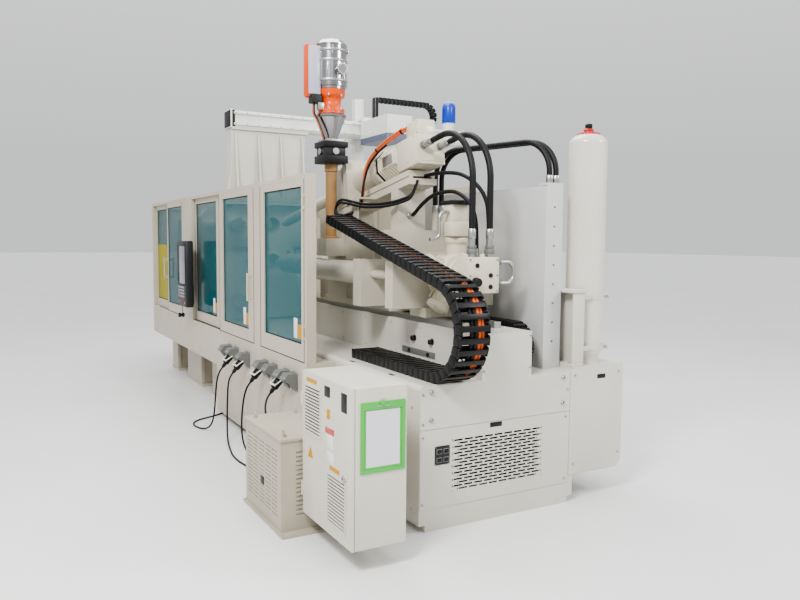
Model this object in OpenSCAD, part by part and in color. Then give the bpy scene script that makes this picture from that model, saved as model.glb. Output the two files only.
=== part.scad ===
// Two-component injection moulding machine with guards, robot and cabinets.
// X runs along the machine, the injection end is +X and the operator stands on the -Y side.
// X = 0 is the mould face of the fixed platen, Y = 0 the centreline and Z = 0 the floor.

/* [Layout] */
// Height of the main screw axis above the floor
axis_z = 1400; // [1380:5:1420]
// Distance from the centreline to the outer face of the guards
guard_y = 770; // [750:5:800]
// Height of the guards' top edge
guard_top = 2060; // [2040:5:2120]
// Height of the sill below the doors
sill_z = 800; // [790:5:810]
// Distance from the centreline to the sides of the two bases
base_y = 560; // [545:5:580]
// Rear end of the clamp base
clamp_x0 = -2000; // [-2010:5:-1960]
// Plane where the clamp base meets the injection base
split_x = 870; // [840:5:900]
// Injection end of the base
inj_x1 = 4180; // [4150:5:4250]

/* [Clamp] */
// Width of the platens
platen_w = 1060; // [1000:10:1100]
// Height of the platens
platen_h = 1160; // [1140:5:1180]
// Thickness of the fixed platen
fixed_t = 250; // [220:5:270]
// Thickness of the moving platen
moving_t = 200; // [180:5:220]
// Thickness of the cylinder platen
rear_t = 250; // [230:5:270]
// Open space between the mould faces
daylight = 700; // [660:10:740]
// Front face of the cylinder platen
rear_x = -1450; // [-1470:5:-1440]
// Diameter of the tie bars
tie_d = 100; // [80:5:120]
// Distance between tie bar centres, both ways
tie_pitch = 760; // [700:10:800]
// Diameter of the clamp piston rod
rod_d = 200; // [160:5:210]
// Bore of the clamp cylinder
bore_d = 260; // [240:5:280]
// Wall of the clamp cylinder
bore_wall = 60; // [40:5:70]
// Radial clearance of running and guided fits
fit_gap = 0.05; // [0.02:0.01:0.09]
// Clearance between faces that slide or stand close
slide_gap = 0.3; // [0.2:0.05:0.6]
// Stroke of the ejector
eject_stroke = 100; // [60:5:100]

/* [Guards] */
// Thickness of a door leaf
leaf_t = 30; // [24:1:34]
// Thickness of the door glazing
glass_t = 6; // [4:1:8]
// Depth of the guard posts and rails
post_d = 70; // [66:1:80]
// Height of the top rail
rail_h = 30; // [24:1:40]
// Thickness of the skirt panels
skirt_t = 20; // [12:1:30]

/* [Injection base] */
// Height of the ledges beside the raised block
ledge_z = 830; // [825:5:850]
// Height of the raised block that carries the rails
block_z = 1095; // [1085:5:1100]
// Radius of the ledge's rounded outer edge
ledge_r = 32; // [20:1:40]
// Height of the linear rails
rail_z = 40; // [30:1:44]
// Thickness of the end cover plates
plate_t = 4; // [3:1:8]
// Number of rows of slots in the grille
slot_rows = 17; // [12:1:18]

/* [Injection unit] */
// Diameter of the plasticising screw
screw_d = 80; // [60:5:90]
// Outer diameter of the barrel
barrel_d = 150; // [130:5:160]
// Outer diameter of the injection cylinders
inj_cyl_d = 160; // [140:5:170]
// Distance from the centreline to an injection cylinder
inj_cyl_y = 300; // [280:5:310]
// Diameter of the injection piston rods
inj_rod_d = 60; // [45:5:70]
// Front face of the crosshead at rest
cross_x = 3450; // [3430:5:3470]

/* [Second unit] */
// Slope of the second unit in degrees
incline = 9.5; // [8:0.5:11]
// Outer diameter of the second barrel
barrel2_d = 95; // [85:1:105]
// Diameter of the second screw
screw2_d = 50; // [40:1:55]
// Width across the second motor
motor2_d = 230; // [200:5:250]

/* [Hopper] */
// Outer diameter of the drop tube
tube_d = 86; // [70:2:100]
// Diameter of the steel loader vessel
loader_d = 256; // [220:2:280]

/* [Robot] */
// Width of the riser at its foot
riser_w = 940; // [900:10:980]
// Underside of the traverse beam
beam_z = 2770; // [2740:5:2820]
// Height of the traverse beam
beam_h = 160; // [140:5:180]
// Far end of the traverse beam
beam_y1 = 2400; // [2300:10:2500]

/* [Beside the machine] */
// Diameter of the accumulator bottle
bottle_d = 245; // [220:5:260]
// Height of the accumulator bottle's crown
bottle_top = 2330; // [2250:10:2400]
// Height of the small cabinet's top
cabinet_top = 920; // [880:5:960]
// Height of the transformer box
box_h = 525; // [480:5:560]
// Height of the sockets' centres
socket_z = 650; // [630:5:660]

/* [Energy chain] */
// Pitch of the chain links
link_p = 60; // [50:1:70]
// Height of a chain link
link_h = 62; // [50:1:66]
// Width of the chain
chain_w = 200; // [160:5:210]
// Radius of the loop at mid-height of the links
loop_r = 270; // [240:5:280]
// Travel of the injection carriage towards the mould
carriage_reach = 370; // [300:5:370]

/* [Hidden] */
$fn = 48;

beige = "#cfc7b8";
pale = "#e2ded2";
steel = "#9a9c9c";
dark = "#26272a";
teal = "#6fb3b6";

deck_top = axis_z - platen_h / 2;
platen_top = axis_z + platen_h / 2;
deck_h = 240;
track_h = 20;
moving_x1 = -daylight;
moving_x0 = moving_x1 - moving_t;
rear_x0 = rear_x - rear_t;
gland_t = 50;
piston_t = 80;
piston_x0 = moving_x0 - 1085;
leaf_top = guard_top - rail_h;
inner_y = guard_y - leaf_t - 3;
guard_x0 = clamp_x0 - 50;
guard_x1 = 3060;
end_post_w = 40;
block_y0 = -150;
block_y1 = 215;
rail_y = 110;
rail_w = 50;
rail_top = block_z + rail_z;
carriage_z = rail_top + slide_gap;
feed_x0 = 2050;
feed_x1 = 2400;
feed_top = axis_z + 240;
housing_x0 = 3000;
housing_t = 120;
cross_t = 100;
motor_x = cross_x + cross_t;
shoe_h = 45;
tube_x = 2290;
tube_y = -250;
tube_top = 2215;
unit_x = 2150;
unit_z = axis_z + 655;
beam_x0 = -30;
beam_x1 = 170;
riser_t = 160;
bottle_x = inj_x1 - 180;
bottle_y = 790;
side_box_z = 847;
cab = [inj_x1 - 315, inj_x1 + 310, -1120, -820];
cab_z0 = 125;
cab_door_t = 15;
cab_hinge = [cab[0] - 7, cab[2]];
cab_hinge_z = [240, 740];
tr = [inj_x1 - 955, inj_x1 - 335, -1240, -880];
panel_x = [-120, 240];
panel_y = [-900, -820];
panel_z = [950, 1610];
hinge_x = -60;
hinge_y = -797;
socket_x = [1300, 1500, 1800, 2250, 2450, 2700, 2850];
chain_y0 = -458;
chain_x0 = 3100;
loop_x = 4110;
upper_slope = 14.4;

function up_z(x, off) = unit_z + (x - unit_x) * tan(incline) + off / cos(incline);

// Box between two opposite corners, given as pairs along each axis
module span(x0, x1, y0, y1, z0, z1) {
    translate([x0, y0, z0]) cube([x1 - x0, y1 - y0, z1 - z0]);
}

module rod_x(x0, x1, y, z, d) {
    translate([x0, y, z]) rotate([0, 90, 0]) cylinder(d = d, h = x1 - x0);
}

module rod_y(x, y0, y1, z, d) {
    translate([x, y0, z]) rotate([-90, 0, 0]) cylinder(d = d, h = y1 - y0);
}

module rod_z(x, y, z0, z1, d) {
    translate([x, y, z0]) cylinder(d = d, h = z1 - z0);
}

// Prism whose outline is drawn in Y and Z and which runs from x0 to x1
module prism_x(x0, x1) {
    translate([x0, 0, 0]) rotate([90, 0, 90]) linear_extrude(height = x1 - x0) children();
}

// Prism whose outline is drawn in X and Z and which runs from y0 to y1
module prism_y(y0, y1) {
    translate([0, y1, 0]) rotate([90, 0, 0]) linear_extrude(height = y1 - y0) children();
}

// Rectangle with round corners from [x0, y0] to [x1, y1]
module round_rect(x0, x1, y0, y1, r) {
    translate([x0 + r, y0]) square([x1 - x0 - 2 * r, y1 - y0]);
    translate([x0, y0 + r]) square([x1 - x0, y1 - y0 - 2 * r]);
    for (x = [x0 + r, x1 - r], y = [y0 + r, y1 - r]) translate([x, y]) circle(r = r);
}

// Pipe or hose that starts along +X. Each step is [straight length, roll, bend radius, bend angle].
module pipe_run(steps, d, i = 0) {
    if (i < len(steps)) {
        s = steps[i];
        rotate([0, 90, 0]) cylinder(d = d, h = s[0]);
        translate([s[0], 0, 0]) rotate([s[1], 0, 0]) {
            if (s[3] > 0)
                translate([0, s[2], 0]) rotate([0, 0, -90])
                    rotate_extrude(angle = s[3]) translate([s[2], 0]) circle(d = d);
            translate([s[2] * sin(s[3]), s[2] * (1 - cos(s[3])), 0]) rotate([0, 0, s[3]])
                pipe_run(steps, d, i + 1);
        }
    }
}

// Clamp base: deck blocks around the drop opening, two wear strips and three welded leg frames.
// Plates that meet stand a hairline apart.
module leg_frame(x0, x1) {
    sole_t = 30;
    side_t = 40;
    z0 = sole_t + slide_gap;
    z1 = deck_top - deck_h - slide_gap;
    span(x0, x1, -base_y, base_y, 0, sole_t);
    for (s = [-1, 1]) {
        y0 = s > 0 ? base_y - side_t : -base_y;
        rib_y = s > 0 ? base_y - 200 : side_t + slide_gap - base_y;
        span(x0 + 40, x1 - 40, y0, y0 + side_t, z0, z1);
        for (x = [x0 + 60, x1 - 80]) span(x, x + 20, rib_y, rib_y + 160 - slide_gap, z0, z1);
    }
}

module clamp_base() {
    chute_x = [moving_x1 + 20, -20];
    chute_y = 320;
    z0 = deck_top - deck_h;
    z1 = deck_top - track_h;
    color(beige) {
        span(clamp_x0, chute_x[0], -base_y, base_y, z0, z1);
        span(chute_x[1], split_x, -base_y, base_y, z0, z1);
        for (s = [-1, 1]) {
            y0 = s > 0 ? chute_y : -base_y;
            track_y = s > 0 ? 400 : 20 - platen_w / 2;
            span(chute_x[0] + slide_gap, chute_x[1] - slide_gap, y0, y0 + base_y - chute_y, z0, z1);
            span(clamp_x0, 330, track_y, track_y + platen_w / 2 - 420, z1 + slide_gap, deck_top);
        }
        leg_frame(-120, 350);
        leg_frame(-1200, -500);
        leg_frame(clamp_x0, -1640);
    }
}

// Injection base: welded body with a rounded ledge, the raised block and the accumulator's box
module base_outline() {
    translate([-base_y, 40]) square([2 * base_y, ledge_z - ledge_r - 40]);
    translate([ledge_r - base_y, ledge_z - ledge_r - 1]) square([2 * base_y - ledge_r, ledge_r + 1]);
    translate([ledge_r - base_y, ledge_z - ledge_r]) circle(r = ledge_r);
    translate([40 - base_y, 0]) square([2 * base_y - 80, 41]);
}

module side_box_outline(y0, inset) {
    r = 60;
    y1 = base_y + 353;
    translate([y0, 170 + inset]) square([y1 + 1 - y0, side_box_z - 170 - 2 * inset]);
    translate([y1, 170 + r]) square([r - inset, side_box_z - 170 - r - inset]);
    translate([y1, 170 + r]) circle(r = r - inset);
}

module injection_base() {
    duct_x = inj_x1 - 220;
    duct_y = [-330, 290];
    duct_z = [210, 510];
    color(pale) {
        difference() {
            prism_x(split_x, inj_x1) base_outline();
            span(duct_x, inj_x1 + 1, -base_y - 1, base_y + 1, -1, duct_z[1]);
        }
        // Frame around the air duct behind the grille
        prism_x(duct_x + slide_gap, inj_x1) intersection() {
            base_outline();
            translate([-base_y - 1, -1]) square([2 * base_y + 2, duct_z[0] + 1]);
        }
        for (w = [[-base_y, duct_y[0]], [duct_y[1], base_y]])
            span(duct_x + slide_gap, inj_x1, w[0], w[1], duct_z[0] + slide_gap, duct_z[1] - slide_gap);
        prism_x(inj_x1 - 580, inj_x1) side_box_outline(base_y + slide_gap, 0);
        difference() {
            span(1400, inj_x1, block_y0, block_y1, ledge_z + slide_gap, block_z);
            span(1500, 3300, -45, 45, block_z - 60, block_z + 1);
            for (x = [3420, 3640]) rod_y(x, block_y0 - 1, block_y0 + 30, 985, 44);
        }
    }
}

// Operator-side skirt of five panels on ribs, the shelf inside the doors and the end return
module front_skirt() {
    seam = 3;
    x1 = guard_x1 - skirt_t;
    y0 = skirt_t + slide_gap - guard_y;
    color(beige) {
        for (p = [[guard_x0, -1000, 470], [-1000 + seam, split_x - slide_gap, 470], [split_x, 1140, 50],
                [1140 + seam, 2060, 50], [2060 + seam, guard_x1, 50]])
            span(p[0], p[1], -guard_y, skirt_t - guard_y, p[2], sill_z);
        span(x1, guard_x1, y0, -base_y, 50, sill_z);
        span(split_x, x1 - slide_gap, y0, -base_y, sill_z - 20, sill_z - 6);
        for (x = [clamp_x0 + 60, -1400, -560, 380]) span(x, x + 14, y0, -base_y, 600, 790);
        for (x = [1100, 1700, 2300]) span(x, x + 14, y0, -base_y, 120, sill_z - 20 - slide_gap);
    }
}

// End cover plates with seams; the lower one is cut out for the grille
grille_y = [-353, 310];
grille_z = [200, 520];
module end_plates() {
    color(pale) {
        prism_x(inj_x1, inj_x1 + plate_t) {
            difference() {
                translate([4 - base_y, 583]) square([base_y + 516, ledge_z - 587]);
                translate([-base_y, ledge_z - ledge_r]) square([ledge_r, ledge_r]);
            }
            translate([ledge_r - base_y, ledge_z - ledge_r]) circle(r = ledge_r - 4);
            translate([block_y0 + 3, ledge_z - 5]) square([block_y1 - block_y0 - 6, block_z - ledge_z + 2]);
        }
        difference() {
            span(inj_x1, inj_x1 + plate_t, 4 - base_y, 520, 130, 579);
            span(inj_x1 - 1, inj_x1 + plate_t + 1, grille_y[0], grille_y[1], grille_z[0], grille_z[1]);
        }
        prism_x(inj_x1, inj_x1 + plate_t) side_box_outline(524, 4);
    }
}

// Grille: staggered slots pressed in a thin panel
module grille() {
    slot_w = 146;
    slot_h = 7;
    pitch_y = 164;
    pitch_z = (grille_z[1] - grille_z[0]) / (slot_rows + 1);
    color(steel) prism_x(inj_x1, inj_x1 + plate_t) difference() {
        translate([grille_y[0], grille_z[0]])
            square([grille_y[1] - grille_y[0], grille_z[1] - grille_z[0]]);
        for (i = [1:slot_rows], j = [0:3])
            if (i % 2 == 0 || j < 3) {
                y0 = grille_y[0] + 8 + j * pitch_y + (i % 2) * pitch_y / 2;
                z0 = grille_z[0] + i * pitch_z - slot_h / 2;
                round_rect(y0, y0 + slot_w, z0, z0 + slot_h, slot_h / 2 - 0.2);
            }
    }
}

// Outline of a platen with cut corners, in Y and Z about the screw axis
module platen_outline(foot = 0) {
    w = platen_w / 2;
    h = platen_h / 2;
    c = 120;
    translate([0, axis_z])
        polygon([[-w, foot - h], [w, foot - h], [w, h - c], [w - c, h], [c - w, h], [-w, h - c]]);
}

module tie_places() {
    for (y = [-1, 1], z = [-1, 1]) translate([0, y * tie_pitch / 2, z * tie_pitch / 2]) children();
}

module tie_holes(x0, x1) {
    tie_places() rod_x(x0 - 1, x1 + 1, 0, axis_z, tie_d + 2 * fit_gap);
}

// Four tapped holes for the mould's clamps and the recesses of the casting
mould_bolt = 420;
module mould_holes(x0, x1) {
    for (y = [-1, 1], z = [-1, 1]) rod_x(x0, x1, y * mould_bolt / 2, axis_z + z * mould_bolt / 2, 20);
}

ring_d = 125;
ring_t = 30;
port_z = up_z(fixed_t / 2 + carriage_reach, 0);
module fixed_platen() {
    color(pale) difference() {
        prism_x(0, fixed_t) platen_outline();
        tie_holes(0, fixed_t);
        rod_x(-1, ring_t, 0, axis_z, ring_d);
        rod_x(ring_t - 1, fixed_t + 1, 0, axis_z, 90);
        rod_x(80, fixed_t + 1, 0, axis_z, 170);
        rod_x(-1, fixed_t + 1, 0, port_z, 160);
        mould_holes(-1, 50);
        for (s = [-1, 1]) translate([fixed_t - 60, 0, axis_z]) prism_x(0, 61)
            translate([s * 330, 0]) square([200, 300], center = true);
    }
}

module moving_platen() {
    color(pale) difference() {
        prism_x(moving_x0, moving_x1) platen_outline(foot = slide_gap);
        tie_holes(moving_x0, moving_x1);
        mould_holes(moving_x1 - 50, moving_x1 + 1);
        for (s = [-1, 1]) rod_x(moving_x0 - 1, moving_x1 + 1, s * 160, axis_z, 30 + 2 * fit_gap);
        for (s = [-1, 1]) translate([moving_x0 - 1, 0, axis_z]) prism_x(0, 51)
            translate([s * 380, 0]) square([180, 380], center = true);
    }
}

module cylinder_platen() {
    color(pale) difference() {
        prism_x(rear_x0, rear_x) platen_outline();
        tie_holes(rear_x0, rear_x);
        rod_x(rear_x0 - 1, rear_x - gland_t, 0, axis_z, bore_d + 2 * fit_gap);
        rod_x(rear_x - gland_t - 1, rear_x + 1, 0, axis_z, rod_d + 2 * fit_gap);
    }
}

// Each bar ends inside the platens and carries a nut with its stub on the outer faces
module tie_bars() {
    nut_t = 60;
    color(steel) tie_places() {
        rod_x(rear_x0 + slide_gap, fixed_t - slide_gap, 0, axis_z, tie_d);
        for (x = [rear_x0 - nut_t, fixed_t])
            translate([x, 0, axis_z]) rotate([0, 90, 0]) cylinder(d = tie_d * 1.5, h = nut_t, $fn = 6);
        rod_x(rear_x0 - 70, rear_x0 - nut_t + 1, 0, axis_z, tie_d);
        rod_x(fixed_t + nut_t - 1, fixed_t + 70, 0, axis_z, tie_d);
    }
}

module clamp_cylinder() {
    end_x = piston_x0 - 10;
    color(beige) difference() {
        union() {
            rod_x(rear_x0 - 45, rear_x0, 0, axis_z, bore_d + 2 * bore_wall + 60);
            rod_x(end_x - 25, rear_x0 - 44, 0, axis_z, bore_d + 2 * bore_wall);
            port = axis_z + bore_d / 2 + bore_wall;
            rod_z(rear_x0 - 120, 0, port - 10, port + 50, 60);
        }
        rod_x(end_x, rear_x0 + 1, 0, axis_z, bore_d + 2 * fit_gap);
    }
}

module clamp_piston() {
    color(steel) {
        rod_x(piston_x0, moving_x0, 0, axis_z, rod_d);
        rod_x(piston_x0, piston_x0 + piston_t, 0, axis_z, bore_d);
        rod_x(moving_x0 - 25, moving_x0, 0, axis_z, rod_d + 80);
    }
}

module ejector() {
    bar_x = moving_x0 - 40 - eject_stroke;
    color(steel) {
        difference() {
            translate([bar_x - 40, -210, axis_z - 145]) cube([40, 420, 290]);
            rod_x(bar_x - 41, bar_x + 1, 0, axis_z, rod_d + 30);
        }
        for (s = [-1, 1]) rod_x(bar_x - 1, moving_x1 - 40, s * 160, axis_z, 30);
    }
}

// Door leaf: frame with a window opening and a groove that holds the glass
lap = 8;
module leaf(x0, x1, y0, w, z0 = sill_z + slide_gap, z1 = leaf_top - slide_gap) {
    difference() {
        span(x0, x1, y0, y0 + leaf_t, z0, z1);
        span(w[0], w[1], y0 - 1, y0 + leaf_t + 1, w[2], w[3]);
        glass(y0, w, 0.5);
    }
}

module glass(y0, w, play = 0) {
    y = y0 + (leaf_t - glass_t) / 2;
    span(w[0] - lap - play, w[1] + lap + play, y, y + glass_t, w[2] - lap - play, w[3] + lap + play);
}

window_z = [900, guard_top - 80];
fixed_w = [guard_x0 + 130, -1222, window_z[0], window_z[1]];
gate_w = [-1168, -472, window_z[0], window_z[1]];
inner_w = [12, 772, window_z[0], window_z[1]];
outer_w = [1100, 1825, window_z[0], window_z[1]];
service_w = [2210, 2970, window_z[0] + 20, window_z[1]];

// Posts, rails and beams stand a hairline apart, so each is a straight bar
module guard_frame() {
    top = leaf_top - slide_gap;
    inner = post_d - guard_y + slide_gap;
    back = -guard_y - slide_gap;
    color(beige) {
        span(guard_x0, guard_x1, -guard_y, post_d - guard_y, leaf_top, guard_top);
        for (x = [[guard_x0, guard_x0 + 70], [-450, -20], [1970, 2120], [guard_x1 - end_post_w, guard_x1]])
            span(x[0], x[1], -guard_y, post_d - guard_y, sill_z, top);
        leaf(guard_x0 + 70 + slide_gap, -1203, -inner_y, fixed_w, sill_z, top);
        for (x = [guard_x0, 420]) span(x, x + 60, inner, guard_y - post_d, guard_top - 60, guard_top);
        difference() {
            span(guard_x0, guard_x0 + 6, inner, guard_y - post_d, sill_z - 40, guard_top - 60 - slide_gap);
            span(guard_x0 - 1, guard_x0 + 7, -180, 180, axis_z - 180, axis_z + 180);
        }
    }
    color(steel) for (z = service_hinge_z) {
        for (k = [z - 20 - slide_gap, z + 60 + slide_gap]) {
            rod_z(service_hinge[0], service_hinge[1], k, k + 20, 13);
            span(service_hinge[0], service_hinge[0] + 24, -guard_y - 5, back, k, k + 20);
        }
        rod_z(service_hinge[0], service_hinge[1], z - 19, z + 79, 6);
    }
    color(dark) {
        span(hinge_x - 50, hinge_x + 38, -guard_y - 6, back, 1150, 1450);
        for (z = [1180, 1390]) difference() {
            span(hinge_x - 15, hinge_x + 15, hinge_y - 15, -guard_y - 5, z, z + 30);
            rod_z(hinge_x, hinge_y, z - 1, z + 31, 12 + 2 * fit_gap);
        }
    }
}

module fixed_window() {
    color(teal) glass(-inner_y, fixed_w);
}

module gate_frame() {
    color(beige) {
        leaf(-1200, -453, -guard_y, gate_w);
        span(-1188, -1178, -guard_y - 32, 1 - guard_y, 1180, 1200);
        span(-1188, -1178, -guard_y - 32, 1 - guard_y, 1380, 1400);
        span(-1190, -1176, -guard_y - 44, -guard_y - 31, 1170, 1410);
    }
}

module gate_window() {
    color(teal) glass(-guard_y, gate_w);
}

module inner_door_frame() {
    color(beige) difference() {
        leaf(-17, 1000, -inner_y, inner_w);
        span(880, 920, -inner_y - 1, 12 - inner_y, 1150, 1330);
    }
}

module inner_door_window() {
    color(teal) glass(-inner_y, inner_w);
}

module outer_door_frame() {
    color(beige) {
        leaf(985, 1967, -guard_y, outer_w);
        for (z = [1160, 1340]) rod_y(1900, -guard_y - 26, 1 - guard_y, z, 14);
        rod_z(1900, -guard_y - 32, 1140, 1360, 16);
    }
}

module outer_door_window() {
    color(teal) glass(-guard_y, outer_w);
}

service_hinge = [3018.5, -guard_y - 7];
service_hinge_z = [980, 1850];
module service_door_frame() {
    color(beige) {
        leaf(2123, 3017, -guard_y, service_w);
        for (z = service_hinge_z) difference() {
            union() {
                rod_z(service_hinge[0], service_hinge[1], z, z + 60, 13);
                span(service_hinge[0] - 24, service_hinge[0] - 1.5, -guard_y - 5, 1 - guard_y, z, z + 60);
            }
            rod_z(service_hinge[0], service_hinge[1], z - 1, z + 61, 6 + 2 * fit_gap);
        }
    }
}

module service_door_window() {
    color(teal) glass(-guard_y, service_w);
}

// Guard on the far side: posts, a top rail and box panels, on brackets from the bases
module rear_guard() {
    y0 = guard_y - post_d;
    w = 60;
    posts = [guard_x0, -1230, -430, 390, 1190, 2000, 2740];
    color(beige) {
        span(guard_x0, posts[6] + w, y0, guard_y, guard_top - w, guard_top);
        for (x = posts) {
            span(x, x + w, y0, guard_y, 400, guard_top - w - slide_gap);
            bracket = x == guard_x0 ? x + w : x;
            span(bracket, bracket + 30, base_y, x == guard_x0 ? guard_y - 40 : y0 - slide_gap, 600, w + 600);
        }
        for (i = [0:5]) {
            x0 = posts[i] + w + (i == 0 ? 30 : 0) + slide_gap;
            span(x0, posts[i + 1] - slide_gap, y0 + 10, guard_y - 10, 400, guard_top - w - slide_gap);
        }
    }
}

// Splash panel behind the unit, folded round the end where the hoses come up
splash_x0 = 2500;
splash_h = 1140;
module splash_panel() {
    t = 12;
    y0 = 420;
    x1 = inj_x1 - 140;
    z1 = ledge_z + splash_h;
    y1 = 543;
    g = slide_gap;
    color(steel) {
        span(splash_x0, x1, y0, y0 + t, ledge_z, z1);
        difference() {
            span(x1 - t, x1, y0 + t + g, y1 - g, ledge_z, z1 + 20);
            for (i = [0:7]) rod_x(x1 - t - 1, x1 + 1, 490, 1000 + i * 120, 16);
        }
        span(x1 - 140, x1, y1, y1 + t, ledge_z, z1 + 20);
        span(x1 - 80, x1 - t - g, y0 + t + g, y1 - g, z1 + 8, z1 + 20);
        span(splash_x0, splash_x0 + t, y0 + t + g, 480, ledge_z, z1);
    }
}

module accumulator() {
    r = bottle_d / 2;
    knuckle_r = 50;
    crown_r = 150;
    rise = sqrt(pow(crown_r - knuckle_r, 2) - pow(r - knuckle_r, 2));
    shoulder = bottle_top - crown_r + rise;
    color(pale) translate([bottle_x, bottle_y, 0]) {
        rotate_extrude() {
            translate([0, side_box_z]) square([r - 20, 61]);
            translate([0, side_box_z + 60]) square([r, shoulder - side_box_z - 60]);
            intersection() {
                translate([r - knuckle_r, shoulder]) circle(r = knuckle_r);
                translate([0, shoulder - 1]) square([r, knuckle_r + 2]);
            }
            intersection() {
                translate([0, shoulder - rise]) circle(r = crown_r);
                translate([0, shoulder - rise])
                    polygon([[0, 0], [3 * (r - knuckle_r), 3 * rise], [0, 3 * crown_r]]);
            }
            translate([0, shoulder - 1]) square([r - knuckle_r, 20]);
        }
        translate([0, 0, bottle_top - 6]) cylinder(d = 64, h = 24);
        translate([0, 0, bottle_top]) cylinder(d = 46, h = 50);
    }
}

// Welded stool around the bottle with two band clamps
module accumulator_bracket() {
    t = 16;
    top = 1330;
    g = slide_gap;
    x0 = bottle_x - 150;
    x1 = bottle_x + 150;
    y1 = bottle_y + bottle_d / 2 + 50;
    hole = bottle_d + 3;
    color(pale) {
        difference() {
            union() {
                span(x0, x1, base_y + 3, y1, top - t, top);
                span(bottle_x + 44, x1, 470, base_y + 4, top - t, top);
            }
            rod_z(bottle_x, bottle_y, top - 20, top + 1, hole);
        }
        prism_x(x1 - t, x1)
            polygon([[480, top - t - g], [570, side_box_z], [y1, side_box_z], [y1, top - t - g]]);
        for (y = [600, y1 - 12]) span(x0, x1 - t - g, y, y + 12, side_box_z, top - t - g);
        span(x1 + g, x1 + 20, 570, y1, side_box_z, side_box_z + 14);
    }
    color(steel) for (z = [935, 1265]) difference() {
        union() {
            rod_z(bottle_x, bottle_y, z, z + 30, hole + 10);
            span(bottle_x + 60, x1 - t - g, bottle_y - 60, bottle_y + 60, z, z + 30);
        }
        rod_z(bottle_x, bottle_y, z - 1, z + 31, hole);
    }
}

// Small cabinet on brackets from the base; its door is on the operator's side
module cabinet_body() {
    color(pale) {
        difference() {
            span(cab[0], cab[1], cab[2] + cab_door_t + 3, cab[3], cab_z0, cabinet_top);
            span(cab[0] + 20, cab[1] - 20, cab[2], cab[3] - 20, cab_z0 + 20, cabinet_top - 20);
        }
        for (z = [260, 640]) span(cab[0] + 100, cab[0] + 150, cab[3] - 1, -base_y, z, z + 50);
        span(cab[0] + 60, cab[1] - 60, cab[3] - 24, cab[3] - 19, cab_z0 + 60, cabinet_top - 60);
        for (x = [cab[0] + 80, cab[0] + 260]) span(x, x + 120, cab[3] - 120, cab[3] - 23, 380, 620);
    }
    color(steel) {
        for (z = cab_hinge_z) {
            for (k = [z - 20 - slide_gap, z + 40 + slide_gap]) {
                rod_z(cab_hinge[0], cab_hinge[1], k, k + 20, 12);
                span(cab_hinge[0] - 1, cab[0] + 0.1, cab_hinge[1] + 2, cab[2] + 34, k, k + 20);
            }
            rod_z(cab_hinge[0], cab_hinge[1], z - 19, z + 59, 6);
        }
    }
}

vent_a = [cab[0] + 30, cab[0] + 260, cabinet_top - 330, cabinet_top - 60];
vent_b = [cab[1] - 290, cab[1] - 60, cab_z0 + 60, cab_z0 + 330];
module vent(v, y) {
    rows = 14;
    step = (v[3] - v[2] - 20) / rows;
    difference() {
        span(v[0], v[1], y - 5, y + 1, v[2], v[3]);
        for (i = [0:rows - 1])
            span(v[0] + 12, v[1] - 12, y - 6, y + 2, v[2] + 12 + i * step, v[2] + 12 + (i + 0.5) * step);
    }
}

module cabinet_door() {
    y = cab[2];
    color(steel) for (z = cab_hinge_z) difference() {
        union() {
            rod_z(cab_hinge[0], cab_hinge[1], z, z + 40, 12);
            span(cab_hinge[0] + 2, cab[0] + 16, cab_hinge[1] - 5, cab_hinge[1] + 0.1, z, z + 40);
        }
        rod_z(cab_hinge[0], cab_hinge[1], z - 1, z + 41, 6 + 2 * fit_gap);
    }
    color(pale) {
        difference() {
            span(cab[0] + 0.5, cab[1], y, y + cab_door_t, cab_z0, cabinet_top);
            for (v = [vent_a, vent_b])
                span(v[0] + 12, v[1] - 12, y - 1, y + cab_door_t + 1, v[2] + 12, v[3] - 12);
        }
        vent(vent_a, y);
        vent(vent_b, y);
    }
    color(steel) rod_y(cab[1] - 70, y - 12, y + 1, 470, 28);
}

module document_holder() {
    color("#58c858") {
        difference() {
            span(cab[1], cab[1] + 6, -1075, -830, 500, 850);
            span(cab[1] + 2, cab[1] + 7, -1055, -850, 520, 810);
        }
        rod_x(cab[1] + 5, cab[1] + 16, -955, 842, 34);
    }
}

module transformer_box() {
    color(beige) {
        difference() {
            span(tr[0], tr[1], tr[2], tr[3], 15, box_h);
            for (r = [0:15], k = [0:4]) {
                x0 = tr[0] + 40 + k * 108;
                span(x0, x0 + 90, tr[2] - 1, tr[2] + 6, 90 + r * 24, 96 + r * 24);
            }
            for (r = [0:14]) span(tr[1] - 6, tr[1] + 1, tr[2] + 90, tr[2] + 200, 100 + r * 25, 110 + r * 25);
        }
        span(tr[0] - 20, tr[1] + 60, tr[2] - 15, tr[3] + 20, 0, 15);
        span(tr[0] - 8, tr[1] + 8, tr[2] - 8, tr[3] + 8, box_h - 1, box_h + 12);
    }
    color(steel) for (x = [tr[0] + 60, tr[1] - 60], y = [tr[2] + 40, tr[3] - 60])
        if ((x < tr[0] + 100) == (y > tr[2] + 100) || y < tr[2] + 100) {
            rod_z(x, y, box_h + 11, box_h + 22, 24);
            translate([x, y, box_h + 36]) rotate([90, 0, 0])
                rotate_extrude() translate([14, 0]) circle(d = 8);
        }
    color(steel) rod_x(tr[0] - 24, tr[0], -1000, 60, 34);
}

// Sockets whose mating faces look down and outwards
base_gland_x = [3110, 3170];
gland_z = 240;
module socket_places(list = socket_x) {
    for (x = list) translate([x, -guard_y, socket_z]) children();
}

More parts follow.
